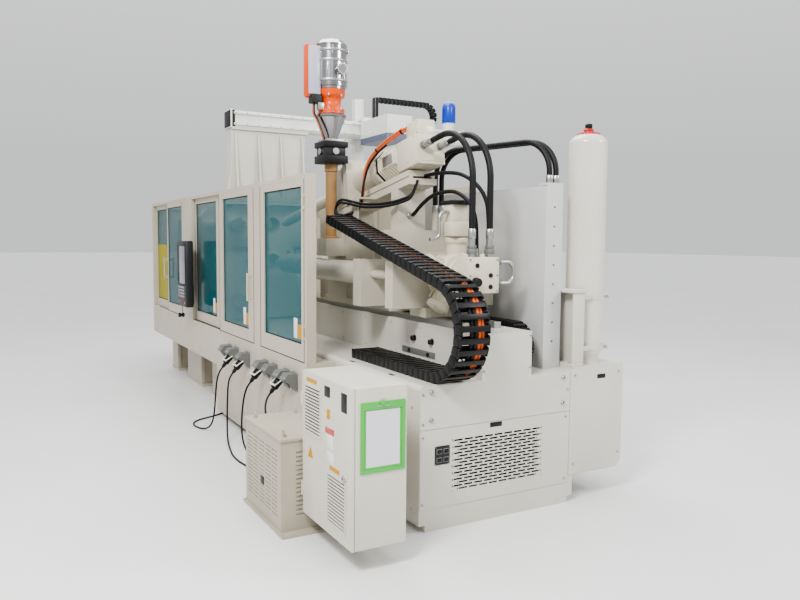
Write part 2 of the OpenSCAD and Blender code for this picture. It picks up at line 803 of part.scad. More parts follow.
module socket_boxes() {
    color("#8c8c86") {
        socket_places() translate([-50, 0, 0]) rotate([90, 0, 90]) linear_extrude(height = 100)
            polygon([[0, 60], [-70, 60], [-100, 20], [-20, -40], [0, -60]]);
        rod_x(split_x - 30, split_x, -500, 120, 34);
        for (x = base_gland_x) rod_y(x, -base_y - 30, -base_y, gland_z, 34);
    }
    color("#d8d4c8") difference() {
        span(guard_x1, guard_x1 + 38, -755, -690, 675, 755);
        rod_x(guard_x1 + 16, guard_x1 + 39, -722, 715, 16 + 2 * fit_gap);
    }
}

module cord_plugs() {
    color(dark) socket_places([for (x = cord_x) x]) translate([0, -60, -10]) rotate([143.13, 0, 0]) {
        translate([0, 0, slide_gap]) cylinder(d = 58, h = 70 - slide_gap);
        translate([0, 0, 69]) cylinder(d = 30, h = 41);
    }
}

module stop_button() {
    color("#c82820") {
        rod_x(guard_x1 + 26, guard_x1 + 48, -722, 715, 16);
        rod_x(guard_x1 + 47, guard_x1 + 62, -722, 715, 40);
    }
}

module control_panel() {
    color(dark) {
        difference() {
            translate([0, panel_y[0], 0]) rotate([90, 0, 0]) mirror([0, 0, 1])
                linear_extrude(height = panel_y[1] - panel_y[0])
                round_rect(panel_x[0], panel_x[1], panel_z[0], panel_z[1], 24);
            span(panel_x[0] + 35, panel_x[1] - 35, panel_y[0] - 1, panel_y[0] + 6, 1180, 1560);
        }
        span(hinge_x - 15, hinge_x + 15, panel_y[1] - 1, hinge_y + 14, 1210 + slide_gap, 1390 - slide_gap);
        rod_z(hinge_x, hinge_y, 1175, 1425, 12);
        rod_z(panel_x[0] + 30, -860, 870, 951, 14);
        rod_y(panel_x[0] + 30, -900, -840, 850, 46);
    }
}

// Robot: riser with gussets, traverse beam with rails, chain tray and drive
module robot_riser() {
    h0 = platen_top;
    foot_t = 25;
    h1 = h0 + foot_t + slide_gap;
    head = beam_z - 30 - slide_gap;
    w0 = riser_w / 2;
    w1 = 400;
    x0 = beam_x0 + 20;
    x1 = x0 + riser_t;
    color(pale) {
        span(beam_x0 - 90, beam_x1 + 100, -w0 - 25, w0 + 25, h0, h0 + foot_t);
        prism_x(x0, x1)
            polygon([[-w0, h1], [w0, h1], [w1, h0 + 420], [w1, head], [-w1, head], [-w1, h0 + 420]]);
        for (y = [-360, -120, 120, 360]) prism_y(y - 8, y + 8)
            polygon([[x1 + slide_gap, h1], [beam_x1 + 95, h1],
            [x1 + 20, beam_z - 60], [x1 + slide_gap, beam_z - 60]]);
        span(beam_x0 - 10, beam_x1, -399, 430, beam_z - 30, beam_z);
    }
}

module robot_beam() {
    color(pale) {
        span(beam_x0, beam_x1, -400, beam_y1, beam_z, beam_z + beam_h);
        for (z = [beam_z + 15, beam_z + beam_h - 35])
            span(beam_x1 - 1, beam_x1 + 16, -380, beam_y1 - 20, z, z + 20);
        span(beam_x0 - 10, beam_x0 + 90, 500, beam_y1 - 100, beam_z + beam_h - 1, beam_z + beam_h + 12);
    }
    color(dark) {
        span(beam_x0 - 12, beam_x1 + 18, beam_y1, beam_y1 + 14, beam_z - 12, beam_z + beam_h + 12);
        span(beam_x0 - 12, beam_x1 + 18, -414, -400, beam_z - 12, beam_z + beam_h + 12);
        rod_z(beam_x1 - 60, beam_y1 - 160, beam_z + beam_h - 1, beam_z + beam_h + 90, 150);
    }
    color("#1858c8") translate([beam_x1 - 60, beam_y1 - 160, beam_z + beam_h + 89]) rotate_extrude() {
        square([80, 180]);
        translate([0, 180]) intersection() {
            circle(r = 80);
            square([80, 80]);
        }
    }
}

carr_y = [1040, 1335];
rob_chain_r = 130;
module robot_carriage() {
    x0 = beam_x1 + 16 + slide_gap;
    top = beam_z + beam_h + 12 + slide_gap;
    color(pale) {
        span(x0, x0 + 620, carr_y[0], carr_y[1], beam_z - 95, beam_z + beam_h);
        span(x0, x0 + 60, carr_y[0], carr_y[1], beam_z + beam_h - 1, top + 30);
        span(beam_x0 - 110, x0 + 1, carr_y[0], carr_y[1], top, top + 30);
        span(beam_x0 - 110, beam_x0 - 20, carr_y[0], carr_y[1], beam_z - 60, top + 1);
    }
    color(dark)
        span(beam_x0 - 8, beam_x0 + 72, carr_y[1] - 40, carr_y[1], top + 29, top + 2 * rob_chain_r + 44);
}

arm_x = [beam_x0 - 200, beam_x0 - 110 - slide_gap];
module robot_arm() {
    color(pale) {
        span(arm_x[0], arm_x[1], 1130, 1240, guard_top + 90, 3240);
        span(arm_x[0] - 60, arm_x[1], 1110, 1260, guard_top + 60, guard_top + 91);
    }
    color(dark) span(arm_x[0] - 60, arm_x[0] + 40, 1100, 1270, guard_top + 30, guard_top + 61);
}

// Injection unit
module injection_rails() {
    color(steel) for (s = [-1, 1]) {
        span(1500, 3980, s * rail_y - rail_w / 2, s * rail_y + rail_w / 2, block_z, rail_top);
    }
}

module carriage_frame() {
    z0 = carriage_z;
    z1 = carriage_z + shoe_h;
    color(pale) difference() {
        union() {
            span(2000, housing_x0 + housing_t, -170, 170, z0, z1);
            span(feed_x0, feed_x1, -170, 170, z1 - 1, feed_top);
            span(tube_x - 90, tube_x + 90, tube_y - 80, 1 - 170, axis_z + 105, feed_top);
            span(housing_x0, housing_x0 + housing_t, -400, 400, z1 - 1, axis_z + 100);
            span(housing_x0, housing_x0 + housing_t, -235, 400, axis_z + 99, 1700);
            span(housing_x0 + housing_t - 20, housing_x0 + housing_t,
                far_chain_y + 5, far_chain_y + 85, 1085, z1);
            for (s = [-1, 1]) span(feed_x1 - 1, housing_x0 + 1, s * 130 - 20, s * 130 + 20, z1 - 1, z1 + 110);
            for (s = [-1, 1]) prism_y(s * 150 - 8, s * 150 + 8)
                polygon([[housing_x0 + 1, z1 + 100], [housing_x0 - 260, z1 + 100], [housing_x0 + 1, 1660]]);
        }
        rod_x(feed_x0 - 1, feed_x1 + 1, 0, axis_z, screw_d + 1);
        rod_x(housing_x0 - 1, housing_x0 + housing_t + 1, 0, axis_z, screw_d + 60);
        for (s = [-1, 1])
            rod_x(housing_x0 - 1, housing_x0 + housing_t + 1, s * inj_cyl_y, axis_z, inj_rod_d + 4);
        rod_z(tube_x, tube_y, axis_z + 140, feed_top + 1, tube_d - 26);
        span(tube_x - 30, tube_x + 30, tube_y, 20, axis_z + 125, axis_z + 185);
        rod_z(tube_x, 0, axis_z, axis_z + 160, tube_d - 26);
    }
}

nozzle_x = 400;
module barrel() {
    color(steel) translate([0, 0, axis_z]) rotate([0, 90, 0]) rotate_extrude() polygon([
        [7, nozzle_x], [18, nozzle_x], [34, nozzle_x + 40], [34, nozzle_x + 110], [65, nozzle_x + 130],
        [65, nozzle_x + 220], [barrel_d / 2, nozzle_x + 220], [barrel_d / 2, feed_x0 - 50],
        [112, feed_x0 - 50], [112, feed_x0], [screw_d / 2 + fit_gap, feed_x0],
        [screw_d / 2 + fit_gap, nozzle_x + 220], [7, nozzle_x + 190]]);
}

band_x = [for (i = [0:6]) nozzle_x + 250 + i * 185];
module heater_bands() {
    r0 = barrel_d / 2 + slide_gap;
    color("#b8b4a8") for (x = band_x) difference() {
        union() {
            rod_x(x, x + 165, 0, axis_z, 2 * r0 + 40);
            span(x + 50, x + 115, -16, 16, axis_z + r0 + 10, axis_z + r0 + 50);
        }
        rod_x(x - 1, x + 166, 0, axis_z, 2 * r0);
    }
}

cyl_x0 = 2100;
module injection_cylinders() {
    color(pale) for (s = [-1, 1]) difference() {
        union() {
            rod_x(cyl_x0, cyl_x0 + 60, s * inj_cyl_y, axis_z - 10 + 10, inj_cyl_d + 16);
            rod_x(cyl_x0 + 59, housing_x0 - 39, s * inj_cyl_y, axis_z, inj_cyl_d);
            rod_x(housing_x0 - 40, housing_x0, s * inj_cyl_y, axis_z, inj_cyl_d + 30);
        }
        rod_x(cyl_x0 + 30, housing_x0 - 40, s * inj_cyl_y, axis_z, inj_cyl_d - 50);
        rod_x(housing_x0 - 41, housing_x0 + 1, s * inj_cyl_y, axis_z, inj_rod_d + 2 * fit_gap);
    }
}

inj_stroke = 250;
module crosshead() {
    z0 = carriage_z;
    color(pale) difference() {
        union() {
            prism_x(cross_x, motor_x) polygon([[-390, z0 + 60], [390, z0 + 60], [390, axis_z + 95],
                [230, axis_z + 95], [190, axis_z + 150], [-190, axis_z + 150], [-230, axis_z + 95],
                [-390, axis_z + 95]]);
            span(cross_x - 60, motor_x + 40, -170, 170, z0, z0 + 61);
        }
        rod_x(cross_x - 1, motor_x + 1, 0, axis_z, screw_d + 2 * fit_gap);
    }
    color(steel) for (s = [-1, 1]) {
        rod_x(housing_x0 - 130, cross_x + 1, s * inj_cyl_y, axis_z, inj_rod_d);
        rod_x(housing_x0 - 130, housing_x0 - 90, s * inj_cyl_y, axis_z, inj_cyl_d - 50 - 2 * fit_gap);
    }
}

// Radial piston motor: five cylinders in a star, a distributor and the valve stack
star_r = 255;
module screw_motor() {
    mx = motor_x + 130;
    color("#e6dfc6") {
        rod_x(motor_x, motor_x + 40, 0, axis_z, 290);
        rod_x(motor_x + 39, motor_x + 240, 0, axis_z, 250);
        for (k = [0:4]) translate([mx, 0, axis_z]) rotate([72 * k, 0, 0]) {
            translate([0, 0, 90]) cylinder(d = 128, h = star_r - 120);
            translate([0, 0, star_r - 31]) cylinder(d = 150, h = 31);
        }
        translate([motor_x + 60, 0, axis_z]) rotate([0, 90, 0]) rotate([0, 0, 18])
            cylinder(r = 158, h = 140, $fn = 10);
        rod_x(motor_x + 239, motor_x + 300, 0, axis_z, 210);
        span(motor_x + 299, motor_x + 430, -115, 115, axis_z - 90, axis_z + 130);
        span(motor_x + 30, motor_x + 210, -80, 80, axis_z + star_r - 1, axis_z + star_r + 90);
        span(motor_x + 60, motor_x + 170, -60, 60, axis_z + star_r + 89, axis_z + star_r + 200);
    }
    color(dark) {
        span(motor_x + 40, motor_x + 200, -70, 70, axis_z + star_r + 200, axis_z + star_r + 225);
        rod_x(motor_x + 430, motor_x + 470, -60, axis_z - 20, 60);
    }
}

fit_x = motor_x + 385;
fit_y = [-60, 70];
fit_top = axis_z + 240;
module motor_pipes() {
    color(steel) {
        for (y = fit_y) {
            rod_z(fit_x, y, axis_z + 130, fit_top, 42);
            translate([fit_x, y, axis_z + 150]) cylinder(d = 64, h = 26, $fn = 6);
            translate([fit_x, y, fit_top - 60]) cylinder(d = 56, h = 22, $fn = 6);
        }
    }
    color(pale) {
        translate([motor_x + 400, 115 + slide_gap, axis_z - 30]) rotate([0, 0, 90])
            pipe_run([[80, 0, 1, 0], [30, 90, 50, 90], [30, 0, 50, 90], [110, 0, 1, 0]], 28);
        translate([motor_x + 130, -60, axis_z + star_r + 150]) rotate([0, 0, -90])
            pipe_run([[30, -90, 40, 90], [90, 180, 40, 90], [40, 0, 1, 0]], 24);
    }
}

hose_top = 2300;
module unit_hoses() {
    hose_x0 = stub_x + slide_gap;
    color(dark) for (i = [0, 1]) {
        x1 = fit_x;
        translate([hose_x0, fit_y[i], hose_top])
            pipe_run([[x1 - hose_x0 - 300, -90, 300, 90],
                [hose_top - 300 - fit_top - slide_gap, 0, 1, 0]], 40);
    }
}

supply_a = [inj_x1 - 180, 500];
supply_b = [3060, 250];
supply_fit_z = 1830;
module supply_hoses() {
    dx = supply_b[0] - supply_a[0];
    dy = supply_b[1] - supply_a[1];
    reach = sqrt(dx * dx + dy * dy);
    r = 200;
    z0 = ledge_z + splash_h + 20;
    color(dark) for (k = [-1, 1]) translate([supply_a[0], supply_a[1] + k * 26, z0])
        rotate([0, 0, atan2(dy, dx)]) rotate([0, -90, 0])
            pipe_run([[70, -90, r, 90], [reach - 2 * r, 0, r, 90],
                [z0 + 70 - supply_fit_z - slide_gap, 0, 1, 0]], 36);
}

module main_screw() {
    tip = nozzle_x + 500;
    color(steel) {
        rod_x(tip + 40, motor_x, 0, axis_z, screw_d);
        translate([tip, 0, axis_z]) rotate([0, 90, 0]) cylinder(d1 = 20, d2 = screw_d - 0.4, h = 40.5);
    }
}

// Second unit, in its own frame: local X runs up the slope along its axis
module on_slope() {
    translate([unit_x, 0, unit_z]) rotate([0, -incline, 0]) children();
}

beam_off = -190;
support_x = [2040, 3260];
// Block that follows the slope between two heights, measured square to the axis
module sloped(x0, x1, y0, y1, low, high) {
    prism_y(y0, y1)
        polygon([[x0, up_z(x0, low)], [x1, up_z(x1, low)], [x1, up_z(x1, high)], [x0, up_z(x0, high)]]);
}

// Post from a level foot up to the slope
module prop(x0, x1, y0, y1, foot, head) {
    prism_y(y0, y1) polygon([[x0, foot], [x1, foot], [x1, up_z(x1, head)], [x0, up_z(x0, head)]]);
}

module second_support() {
    end_x = chain_x0 + chain_end[0];
    end_z = chain_z + chain_end[1];
    web_y = chain_y0 + chain_w + slide_gap;
    under = beam_off - 40 - slide_gap;
    color(beige) {
        sloped(support_x[0], support_x[1], -110, 110, beam_off - 40, beam_off);
        prop(2230, 2320, -60, 110, feed_top, under);
        prop(3010, 3110, -110, 110, 1700, under);
        translate([end_x, 0, end_z]) rotate([0, -turn_over, 0])
            translate([-150, chain_y0, link_h / 2 + slide_gap]) cube([150, chain_w + 11, 8]);
        prism_y(web_y, chain_y0 + chain_w + 11) polygon([[end_x + 10, end_z - 50], [end_x + 110, end_z - 75],
            [end_x + 110, up_z(end_x + 110, beam_off - 28)], [end_x + 10, up_z(end_x + 10, beam_off - 28)]]);
        sloped(end_x + 10, end_x + 110, chain_y0 + chain_w + 11 + slide_gap, -110 - slide_gap,
            beam_off - 40, beam_off - 28);
        for (k = [-1, 1]) rod_z(supply_b[0], supply_b[1] + k * 26, 1700, supply_fit_z, 46);
    }
    color(steel) for (s = [-1, 1])
        sloped(support_x[0] + 5, support_x[1] - 10, s * 85 - 12, s * 85 + 12,
            beam_off + slide_gap, beam_off + 18);
}

shoe_off = beam_off + 18 + slide_gap;
stub_x = fit_x - 335;
module second_housing() {
    color(beige) on_slope() difference() {
        union() {
            span(-90, 1080, -105, 105, shoe_off, shoe_off + 38);
            prism_x(-120, 80) round_rect(-130, 130, -160, 150, 40);
            span(79, 130, -70, 70, -100, 100);
            span(130, 200, -140, 140, shoe_off + 10, 165);
            rod_x(199, 560, 0, 0, 190);
            rod_x(560, 640, 0, 0, motor2_d + 40);
        }
        rod_x(-121, 641, 0, 0, screw2_d + 2 * fit_gap);
    }
    color(steel) on_slope() translate([0, 0, 0]) rotate([0, 90, 0]) rotate_extrude() polygon([
        [6, -1640], [14, -1640], [26, -1600], [26, -1540], [barrel2_d / 2, -1520], [barrel2_d / 2, -160],
        [75, -160], [75, -120], [screw2_d / 2 + fit_gap, -120], [screw2_d / 2 + fit_gap, -1480], [6, -1500]]);
}

module second_motor() {
    color(beige) {
        on_slope() difference() {
            union() {
                translate([640, 0, 0]) rotate([0, 90, 0]) rotate([0, 0, 22.5])
                    cylinder(d = motor2_d, h = 480, $fn = 8);
                span(1119, 1400, -110, 110, -100, 110);
                span(960, 1330, -80, 80, 90, 210);
            }
            rod_x(639, 700, 0, 0, screw2_d + 2 * fit_gap);
        }
    }
    color(steel) for (y = fit_y) rod_x(3480, stub_x, y, hose_top, 46);
}

module second_screw() {
    color(steel) on_slope() {
        rod_x(-1300, 690, 0, 0, screw2_d);
        translate([-1330, 0, 0]) rotate([0, 90, 0]) cylinder(d1 = 12, d2 = screw2_d - 0.4, h = 30.5);
    }
}

module drop_tube() {
    color("#c09c70") translate([tube_x, tube_y, 0]) difference() {
        union() {
            translate([0, 0, feed_top]) cylinder(d = tube_d, h = tube_top - feed_top);
            translate([0, 0, feed_top]) cylinder(d = tube_d + 30, h = 14);
            translate([0, 0, tube_top - 60]) cylinder(d = tube_d + 16, h = 60);
        }
        translate([0, 0, feed_top - 1]) cylinder(d = tube_d - 8, h = tube_top - feed_top + 2);
    }
}

// Loader: black valve block, steel cone, orange valve body, vessel and its side box
module hopper_loader() {
    z1 = tube_top + 185;
    translate([tube_x, tube_y, 0]) {
        color(dark) difference() {
            translate([-100, -100, tube_top]) cube([200, 200, 185]);
            translate([0, 0, tube_top - 1]) cylinder(d = 60, h = 187);
        }
        color(steel) rotate_extrude() polygon([[44, z1], [60, z1], [60, z1 + 20],
            [loader_d / 2 - 6, z1 + 190], [loader_d / 2 - 6, z1 + 208], [loader_d / 2 - 22, z1 + 208],
            [loader_d / 2 - 22, z1 + 190], [44, z1 + 20]]);
        color("#e06020") rotate_extrude()
            polygon([[0, z1 + 208], [105, z1 + 208], [105, z1 + 250], [82, z1 + 300],
            [82, z1 + 330], [110, z1 + 380], [110, z1 + 410], [0, z1 + 410]]);
        color(steel) {
            translate([0, 0, z1 + 410]) cylinder(d = loader_d - 30, h = 40);
            translate([0, 0, z1 + 440]) cylinder(d = loader_d, h = 330);
            for (z = [z1 + 470, z1 + 640]) translate([0, 0, z]) cylinder(d = loader_d + 14, h = 22);
            translate([0, 0, z1 + 770]) cylinder(d1 = loader_d, d2 = loader_d - 70, h = 50);
            translate([60, 0, z1 + 560]) rotate([0, 90, 0]) cylinder(d = 70, h = 120);
            translate([0, 0, z1 + 819]) cylinder(d = 60, h = 40);
        }
        color("#e06020") translate([-70, -loader_d / 2 - 130, z1 + 470]) cube([140, 90, 390]);
        color("#c8c8d4") translate([-78, -loader_d / 2 - 41, z1 + 430]) cube([150, 60, 400]);
    }
}

// Energy chains: each link is two side plates with cross bars, set along a route that runs straight
// for a length, turns over in a loop and runs on straight
function chain_at(s, run, r, turn) =
    let (arc = r * turn * PI / 180)
    s < run ? [s, 0, 0] :
    s < run + arc ? let (a = (s - run) / r * 180 / PI) [run + r * sin(a), r * (1 - cos(a)), a] :
    [run + r * sin(turn) + (s - run - arc) * cos(turn),
        r * (1 - cos(turn)) + (s - run - arc) * sin(turn), turn];

function chain_len(run, r, turn, back) = run + r * turn * PI / 180 + back;

module chain_link(w, h, p, r) {
    t = w / 22;
    g = slide_gap / 2;
    a = r > 0 ? 90 * p / r / PI : 0;
    lo = (r > 0 ? (r + h / 2) * sin(a) : p / 2) - g;
    low = r > 0 ? r - (r + h / 2) * cos(a) : -h / 2;
    hi = (r > 0 ? (r - h / 2) * tan(a) : p / 2) - g;
    for (y = [0, w - t]) translate([0, y + t, 0]) rotate([90, 0, 0]) linear_extrude(height = t)
        polygon([[-lo, low], [lo, low], [hi, h / 2], [-hi, h / 2]]);
    for (z = [-h / 2, h * 0.4]) translate([-0.15 * p, t - 1, z]) cube([0.3 * p, w - 2 * t + 2, h / 10]);
    for (y = [w / 3, 2 * w / 3]) translate([-p / 14, y - 2, 1 - h / 2]) cube([p / 7, 4, h - 2]);
}

module chain(run, r, turn, back, pitch, w, h) {
    arc = r * turn * PI / 180;
    for (part = [[0, run, 0], [run, arc, r], [run + arc, back, 0]]) {
        count = round(part[1] / pitch);
        p = part[1] / count;
        for (i = [0:count - 1]) {
            c = chain_at(part[0] + (i + 0.5) * p, run, r, turn);
            translate([c[0], 0, c[1]]) rotate([0, -c[2], 0]) chain_link(w, h, p, part[2]);
        }
    }
}

turn_over = 180 - upper_slope;
chain_z = ledge_z + slide_gap + link_h / 2;
chain_run = loop_x - chain_x0;
chain_back = 1560;
chain_end = chain_at(chain_len(chain_run, loop_r, turn_over, chain_back), chain_run, loop_r, turn_over);
far_chain_y = 235;
far_chain_x = 3500;
module energy_chain() {
    color(dark) {
        translate([chain_x0, chain_y0, chain_z])
            chain(chain_run, loop_r, turn_over, chain_back, link_p, chain_w, link_h);
        // Small chain on the far side of the injection unit
        translate([far_chain_x, far_chain_y, ledge_z + slide_gap + 18])
            chain(420, 130, 180, far_chain_x + 420 - housing_x0 - housing_t - slide_gap, 41, 90, 36);
        // Chain on the robot's beam
        translate([beam_x0 + 72, carr_y[1] + 65, beam_z + beam_h + 12 + 22 + slide_gap]) rotate([0, 0, 90])
            chain(560, rob_chain_r, 180, 625 - slide_gap, 50, 80, 44);
    }
}

// Free cords: rings set square to the route, carried along it without twist
cord_d = 14;
cord_x = [1500, 1800, 2250, 2700];
cord_a_route = [[1500, -896.2, 551.7], [1500, -912, 531], [1499, -928, 500], [1496, -942, 450],
    [1490, -950, 380], [1482, -955, 290], [1474, -960, 200], [1462, -968, 120], [1440, -985, 55],
    [1400, -1012, 20], [1330, -1045, 8], [1240, -1065, 7], [1150, -1060, 7], [1070, -1025, 7],
    [1010, -960, 7], [965, -880, 7], [920, -800, 7], [860, -720, 9], [790, -640, 18], [737, -572, 45],
    [737, -522, 85], [778, -501, 117], [806, -500, 120], [839.6, -500, 120]];
cord_b_route = [[1800, -896.2, 551.7], [1800, -912, 531], [1800, -927, 500], [1801, -938, 440],
    [1803, -944, 340], [1806, -948, 230], [1815, -952, 130], [1840, -958, 60], [1890, -968, 20],
    [1970, -985, 8], [2100, -1010, 7], [2250, -1035, 7], [2400, -1040, 7], [2550, -1025, 7],
    [2700, -1005, 7], [2840, -995, 7], [2970, -994, 9], [3040, -997, 18], [3100, -1000, 42],
    [3155, -1000, 59.5], [3200.6, -1000, 60]];
cord_c_route = [[2250, -896.2, 551.7], [2250, -912, 531], [2248, -928, 500], [2243, -944, 440],
    [2240, -956, 350], [2244, -964, 250], [2262, -966, 150], [2300, -958, 75], [2360, -942, 28],
    [2450, -920, 8], [2560, -895, 7], [2680, -872, 7], [2800, -855, 8], [2900, -838, 14], [2985, -820, 36],
    [3052, -795, 80], [3092, -755, 145], [3107, -700, 208], [3110, -640, 239.5], [3110, -590.4, 240]];
cord_d_route = [[2700, -896.2, 551.7], [2700, -912, 531], [2706, -928, 503], [2724, -942, 462],
    [2760, -950, 415], [2815, -948, 370], [2885, -934, 330], [2960, -908, 298], [3035, -870, 274],
    [3100, -815, 256], [3145, -745, 246], [3166, -670, 241], [3170, -590.4, 240]];

function unit(v) = v / norm(v);
function tangent(p, i) = unit(p[min(i + 1, len(p) - 1)] - p[max(i - 1, 0)]);
function normals(p) = [for (i = 0, n = unit(cross(tangent(p, 0), [1, 0.01, 0])); i < len(p);
    i = i + 1, n = i < len(p) ? unit(n - tangent(p, i) * (n * tangent(p, i))) : n) n];

module tube(p, d, sides = 8) {
    ns = normals(p);
    rings = [for (i = [0:len(p) - 1], k = [0:sides - 1])
        let (t = tangent(p, i), n = ns[i], b = cross(t, n), a = 360 * k / sides)
        p[i] + d / 2 * (n * cos(a) + b * sin(a))];
    last = (len(p) - 1) * sides;
    faces = concat(
        [for (i = [0:len(p) - 2], k = [0:sides - 1])
            let (a = i * sides + k, b = i * sides + (k + 1) % sides) [a, a + sides, b + sides, b]],
        [[for (k = [0:sides - 1]) k]],
        [[for (k = [sides - 1:-1:0]) last + k]]);
    polyhedron(rings, faces);
}

module cord_a() {
    color(dark) tube(cord_a_route, cord_d);
}

module cord_b() {
    color(dark) tube(cord_b_route, cord_d);
}

module cord_c() {
    color(dark) tube(cord_c_route, cord_d);
}

module cord_d() {
    color(dark) tube(cord_d_route, cord_d);
}

clamp_base();
injection_base();
front_skirt();
end_plates();
grille();
fixed_platen();
cylinder_platen();
tie_bars();
clamp_cylinder();
guard_frame();
fixed_window();
rear_guard();
splash_panel();
accumulator();
accumulator_bracket();
cabinet_body();
document_holder();
transformer_box();
socket_boxes();
cord_plugs();
robot_riser();
robot_beam();
injection_rails();
supply_hoses();
energy_chain();
cord_a();
cord_b();
cord_c();
cord_d();
stop_button();
cabinet_door();
control_panel();
gate_frame();
gate_window();
inner_door_frame();
inner_door_window();
outer_door_frame();
outer_door_window();
service_door_frame();
service_door_window();
moving_platen();
clamp_piston();
ejector();
carriage_frame();
barrel();
heater_bands();
injection_cylinders();
second_support();
drop_tube();
hopper_loader();
unit_hoses();
crosshead();
screw_motor();
motor_pipes();
main_screw();
second_housing();
second_motor();
second_screw();
robot_carriage();
robot_arm();
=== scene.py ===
"""Injection moulding machine with two injection units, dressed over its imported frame.

Everything is in metres and in the machine's own frame: X runs along the machine towards the
injection end, the operator stands on the -Y side, and Z = 0 is the floor.
"""

import itertools
import logging
import math
from dataclasses import dataclass, field
from enum import Enum
from typing import Iterable, Sequence

import bmesh
import bpy
from mathutils import Matrix, Vector

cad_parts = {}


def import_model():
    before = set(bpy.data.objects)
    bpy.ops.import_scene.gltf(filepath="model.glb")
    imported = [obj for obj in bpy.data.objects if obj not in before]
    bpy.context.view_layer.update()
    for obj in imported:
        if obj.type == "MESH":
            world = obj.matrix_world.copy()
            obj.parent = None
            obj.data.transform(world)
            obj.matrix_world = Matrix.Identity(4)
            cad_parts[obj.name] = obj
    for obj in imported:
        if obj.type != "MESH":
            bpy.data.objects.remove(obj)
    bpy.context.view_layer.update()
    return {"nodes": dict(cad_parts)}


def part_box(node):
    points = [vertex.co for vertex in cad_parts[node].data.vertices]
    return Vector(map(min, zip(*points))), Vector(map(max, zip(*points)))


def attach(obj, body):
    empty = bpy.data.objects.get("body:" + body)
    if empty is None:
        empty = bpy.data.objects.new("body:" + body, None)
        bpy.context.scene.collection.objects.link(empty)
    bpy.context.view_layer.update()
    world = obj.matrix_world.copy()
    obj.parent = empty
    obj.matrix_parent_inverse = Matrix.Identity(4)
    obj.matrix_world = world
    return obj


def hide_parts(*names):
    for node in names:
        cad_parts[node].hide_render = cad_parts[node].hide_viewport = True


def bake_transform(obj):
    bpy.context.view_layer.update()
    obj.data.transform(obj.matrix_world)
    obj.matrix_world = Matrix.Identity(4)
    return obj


log = logging.getLogger("machine")
Point = tuple[float, float, float]
Pair = tuple[float, float]
Spot = Sequence[float]
Socket = bpy.types.NodeSocket

UP, ENDWARD, NEAR, FAR = (0, 0, 1), (1, 0, 0), (0, -1, 0), (0, 1, 0)  # near is the operator's side
SHARP = math.radians(38)  # edges of a piece that are steeper than this stay sharp
STEEP = math.radians(32)  # the same for the parts that keep their CAD shape
GRIME_TOP = 0.7  # height at which the dirt near the floor ends
GRIME = (0.18, 0.16, 0.13, 1.0)


class Body(str, Enum):
    """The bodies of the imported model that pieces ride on."""

    FRAME = "frame"
    CABINET_DOOR = "cabinet_door"
    PANEL = "control_panel"
    GATE = "mould_gate"
    INNER = "inner_door"
    OUTER = "outer_door"
    SERVICE = "service_door"
    CARRIAGE = "carriage"
    CROSSHEAD = "crosshead"
    SECOND = "second_unit"
    ROBOT = "robot_carriage"


# ------------ small helpers


def put(name: str, data: bpy.types.ID) -> bpy.types.Object:
    """Makes an object and links it to the scene.

    Args:
        name: The object's name.
        data: Its mesh, curve, lamp or camera.

    Returns:
        The new object.
    """
    thing = bpy.data.objects.new(name, data)
    bpy.context.collection.objects.link(thing)
    return thing


def circle(radius: float, count: int, start: float = 0.0) -> list[Pair]:
    """Points spaced evenly round a circle, from a start angle in degrees."""
    angles = [math.radians(start + 360 * k / count) for k in range(count)]
    return [(radius * math.cos(a), radius * math.sin(a)) for a in angles]


def turned(*points: Pair) -> list[Pair]:
    """Closes a profile of (radius, height) pairs with flat ends that reach the axis."""
    return [(0.0, points[0][1]), *points, (0.0, points[-1][1])]


def rectangle(u0: float, v0: float, u1: float, v1: float) -> list[Pair]:
    """The four corners of a rectangle."""
    return [(u0, v0), (u1, v0), (u1, v1), (u0, v1)]


def rim_bars(lo: Pair, hi: Pair, side: float, foot: float, head: float, lap: float = 0.0
             ) -> list[tuple[Pair, Pair]]:
    """Splits a rectangular rim into four bars.

    Args:
        lo: The rim's lower left corner.
        hi: The rim's upper right corner.
        side: The width of the two side bars.
        foot: The height of the lower bar.
        head: The height of the upper bar.
        lap: How far the side bars reach over the other two.

    Returns:
        The lower, upper, left and right bar, each as two corners.
    """
    (u0, v0), (u1, v1) = lo, hi
    low, high = v0 + foot - lap, v1 - head + lap
    return [((u0, v0), (u1, v0 + foot)), ((u0, v1 - head), (u1, v1)),
            ((u0, low), (u0 + side, high)), ((u1 - side, low), (u1, high))]


class Graph:
    """A node tree whose nodes are added, set and joined in one step each."""

    def __init__(self, tree: bpy.types.NodeTree) -> None:
        """Takes the tree that is filled."""
        self.tree = tree

    def add(self, kind: str, inputs: dict[str | int, object] | None = None, **settings: object
            ) -> bpy.types.Node:
        """Adds a node.

        Args:
            kind: The node's type.
            inputs: Values of its inputs, or the outputs that they are joined to.
            settings: Properties of the node.

        Returns:
            The new node.
        """
        node = self.tree.nodes.new(kind)
        for name, value in settings.items():
            setattr(node, name, value)
        self.fill(node, inputs or {})
        return node

    def fill(self, node: bpy.types.Node, inputs: dict[str | int, object]) -> None:
        """Sets a node's inputs or joins them.

        Args:
            node: The node.
            inputs: Values of its inputs, or the outputs that they are joined to.
        """
        for name, value in inputs.items():
            if isinstance(value, Socket):
                self.tree.links.new(value, node.inputs[name])
            else:
                node.inputs[name].default_value = value

    def noise(self, vector: Socket, scale: float, detail: float) -> Socket:
        """Adds a noise texture and returns its value output."""
        noise = {"Vector": vector, "Scale": scale, "Detail": detail}
        return self.add("ShaderNodeTexNoise", noise).outputs["Fac"]


# ------------ finishes


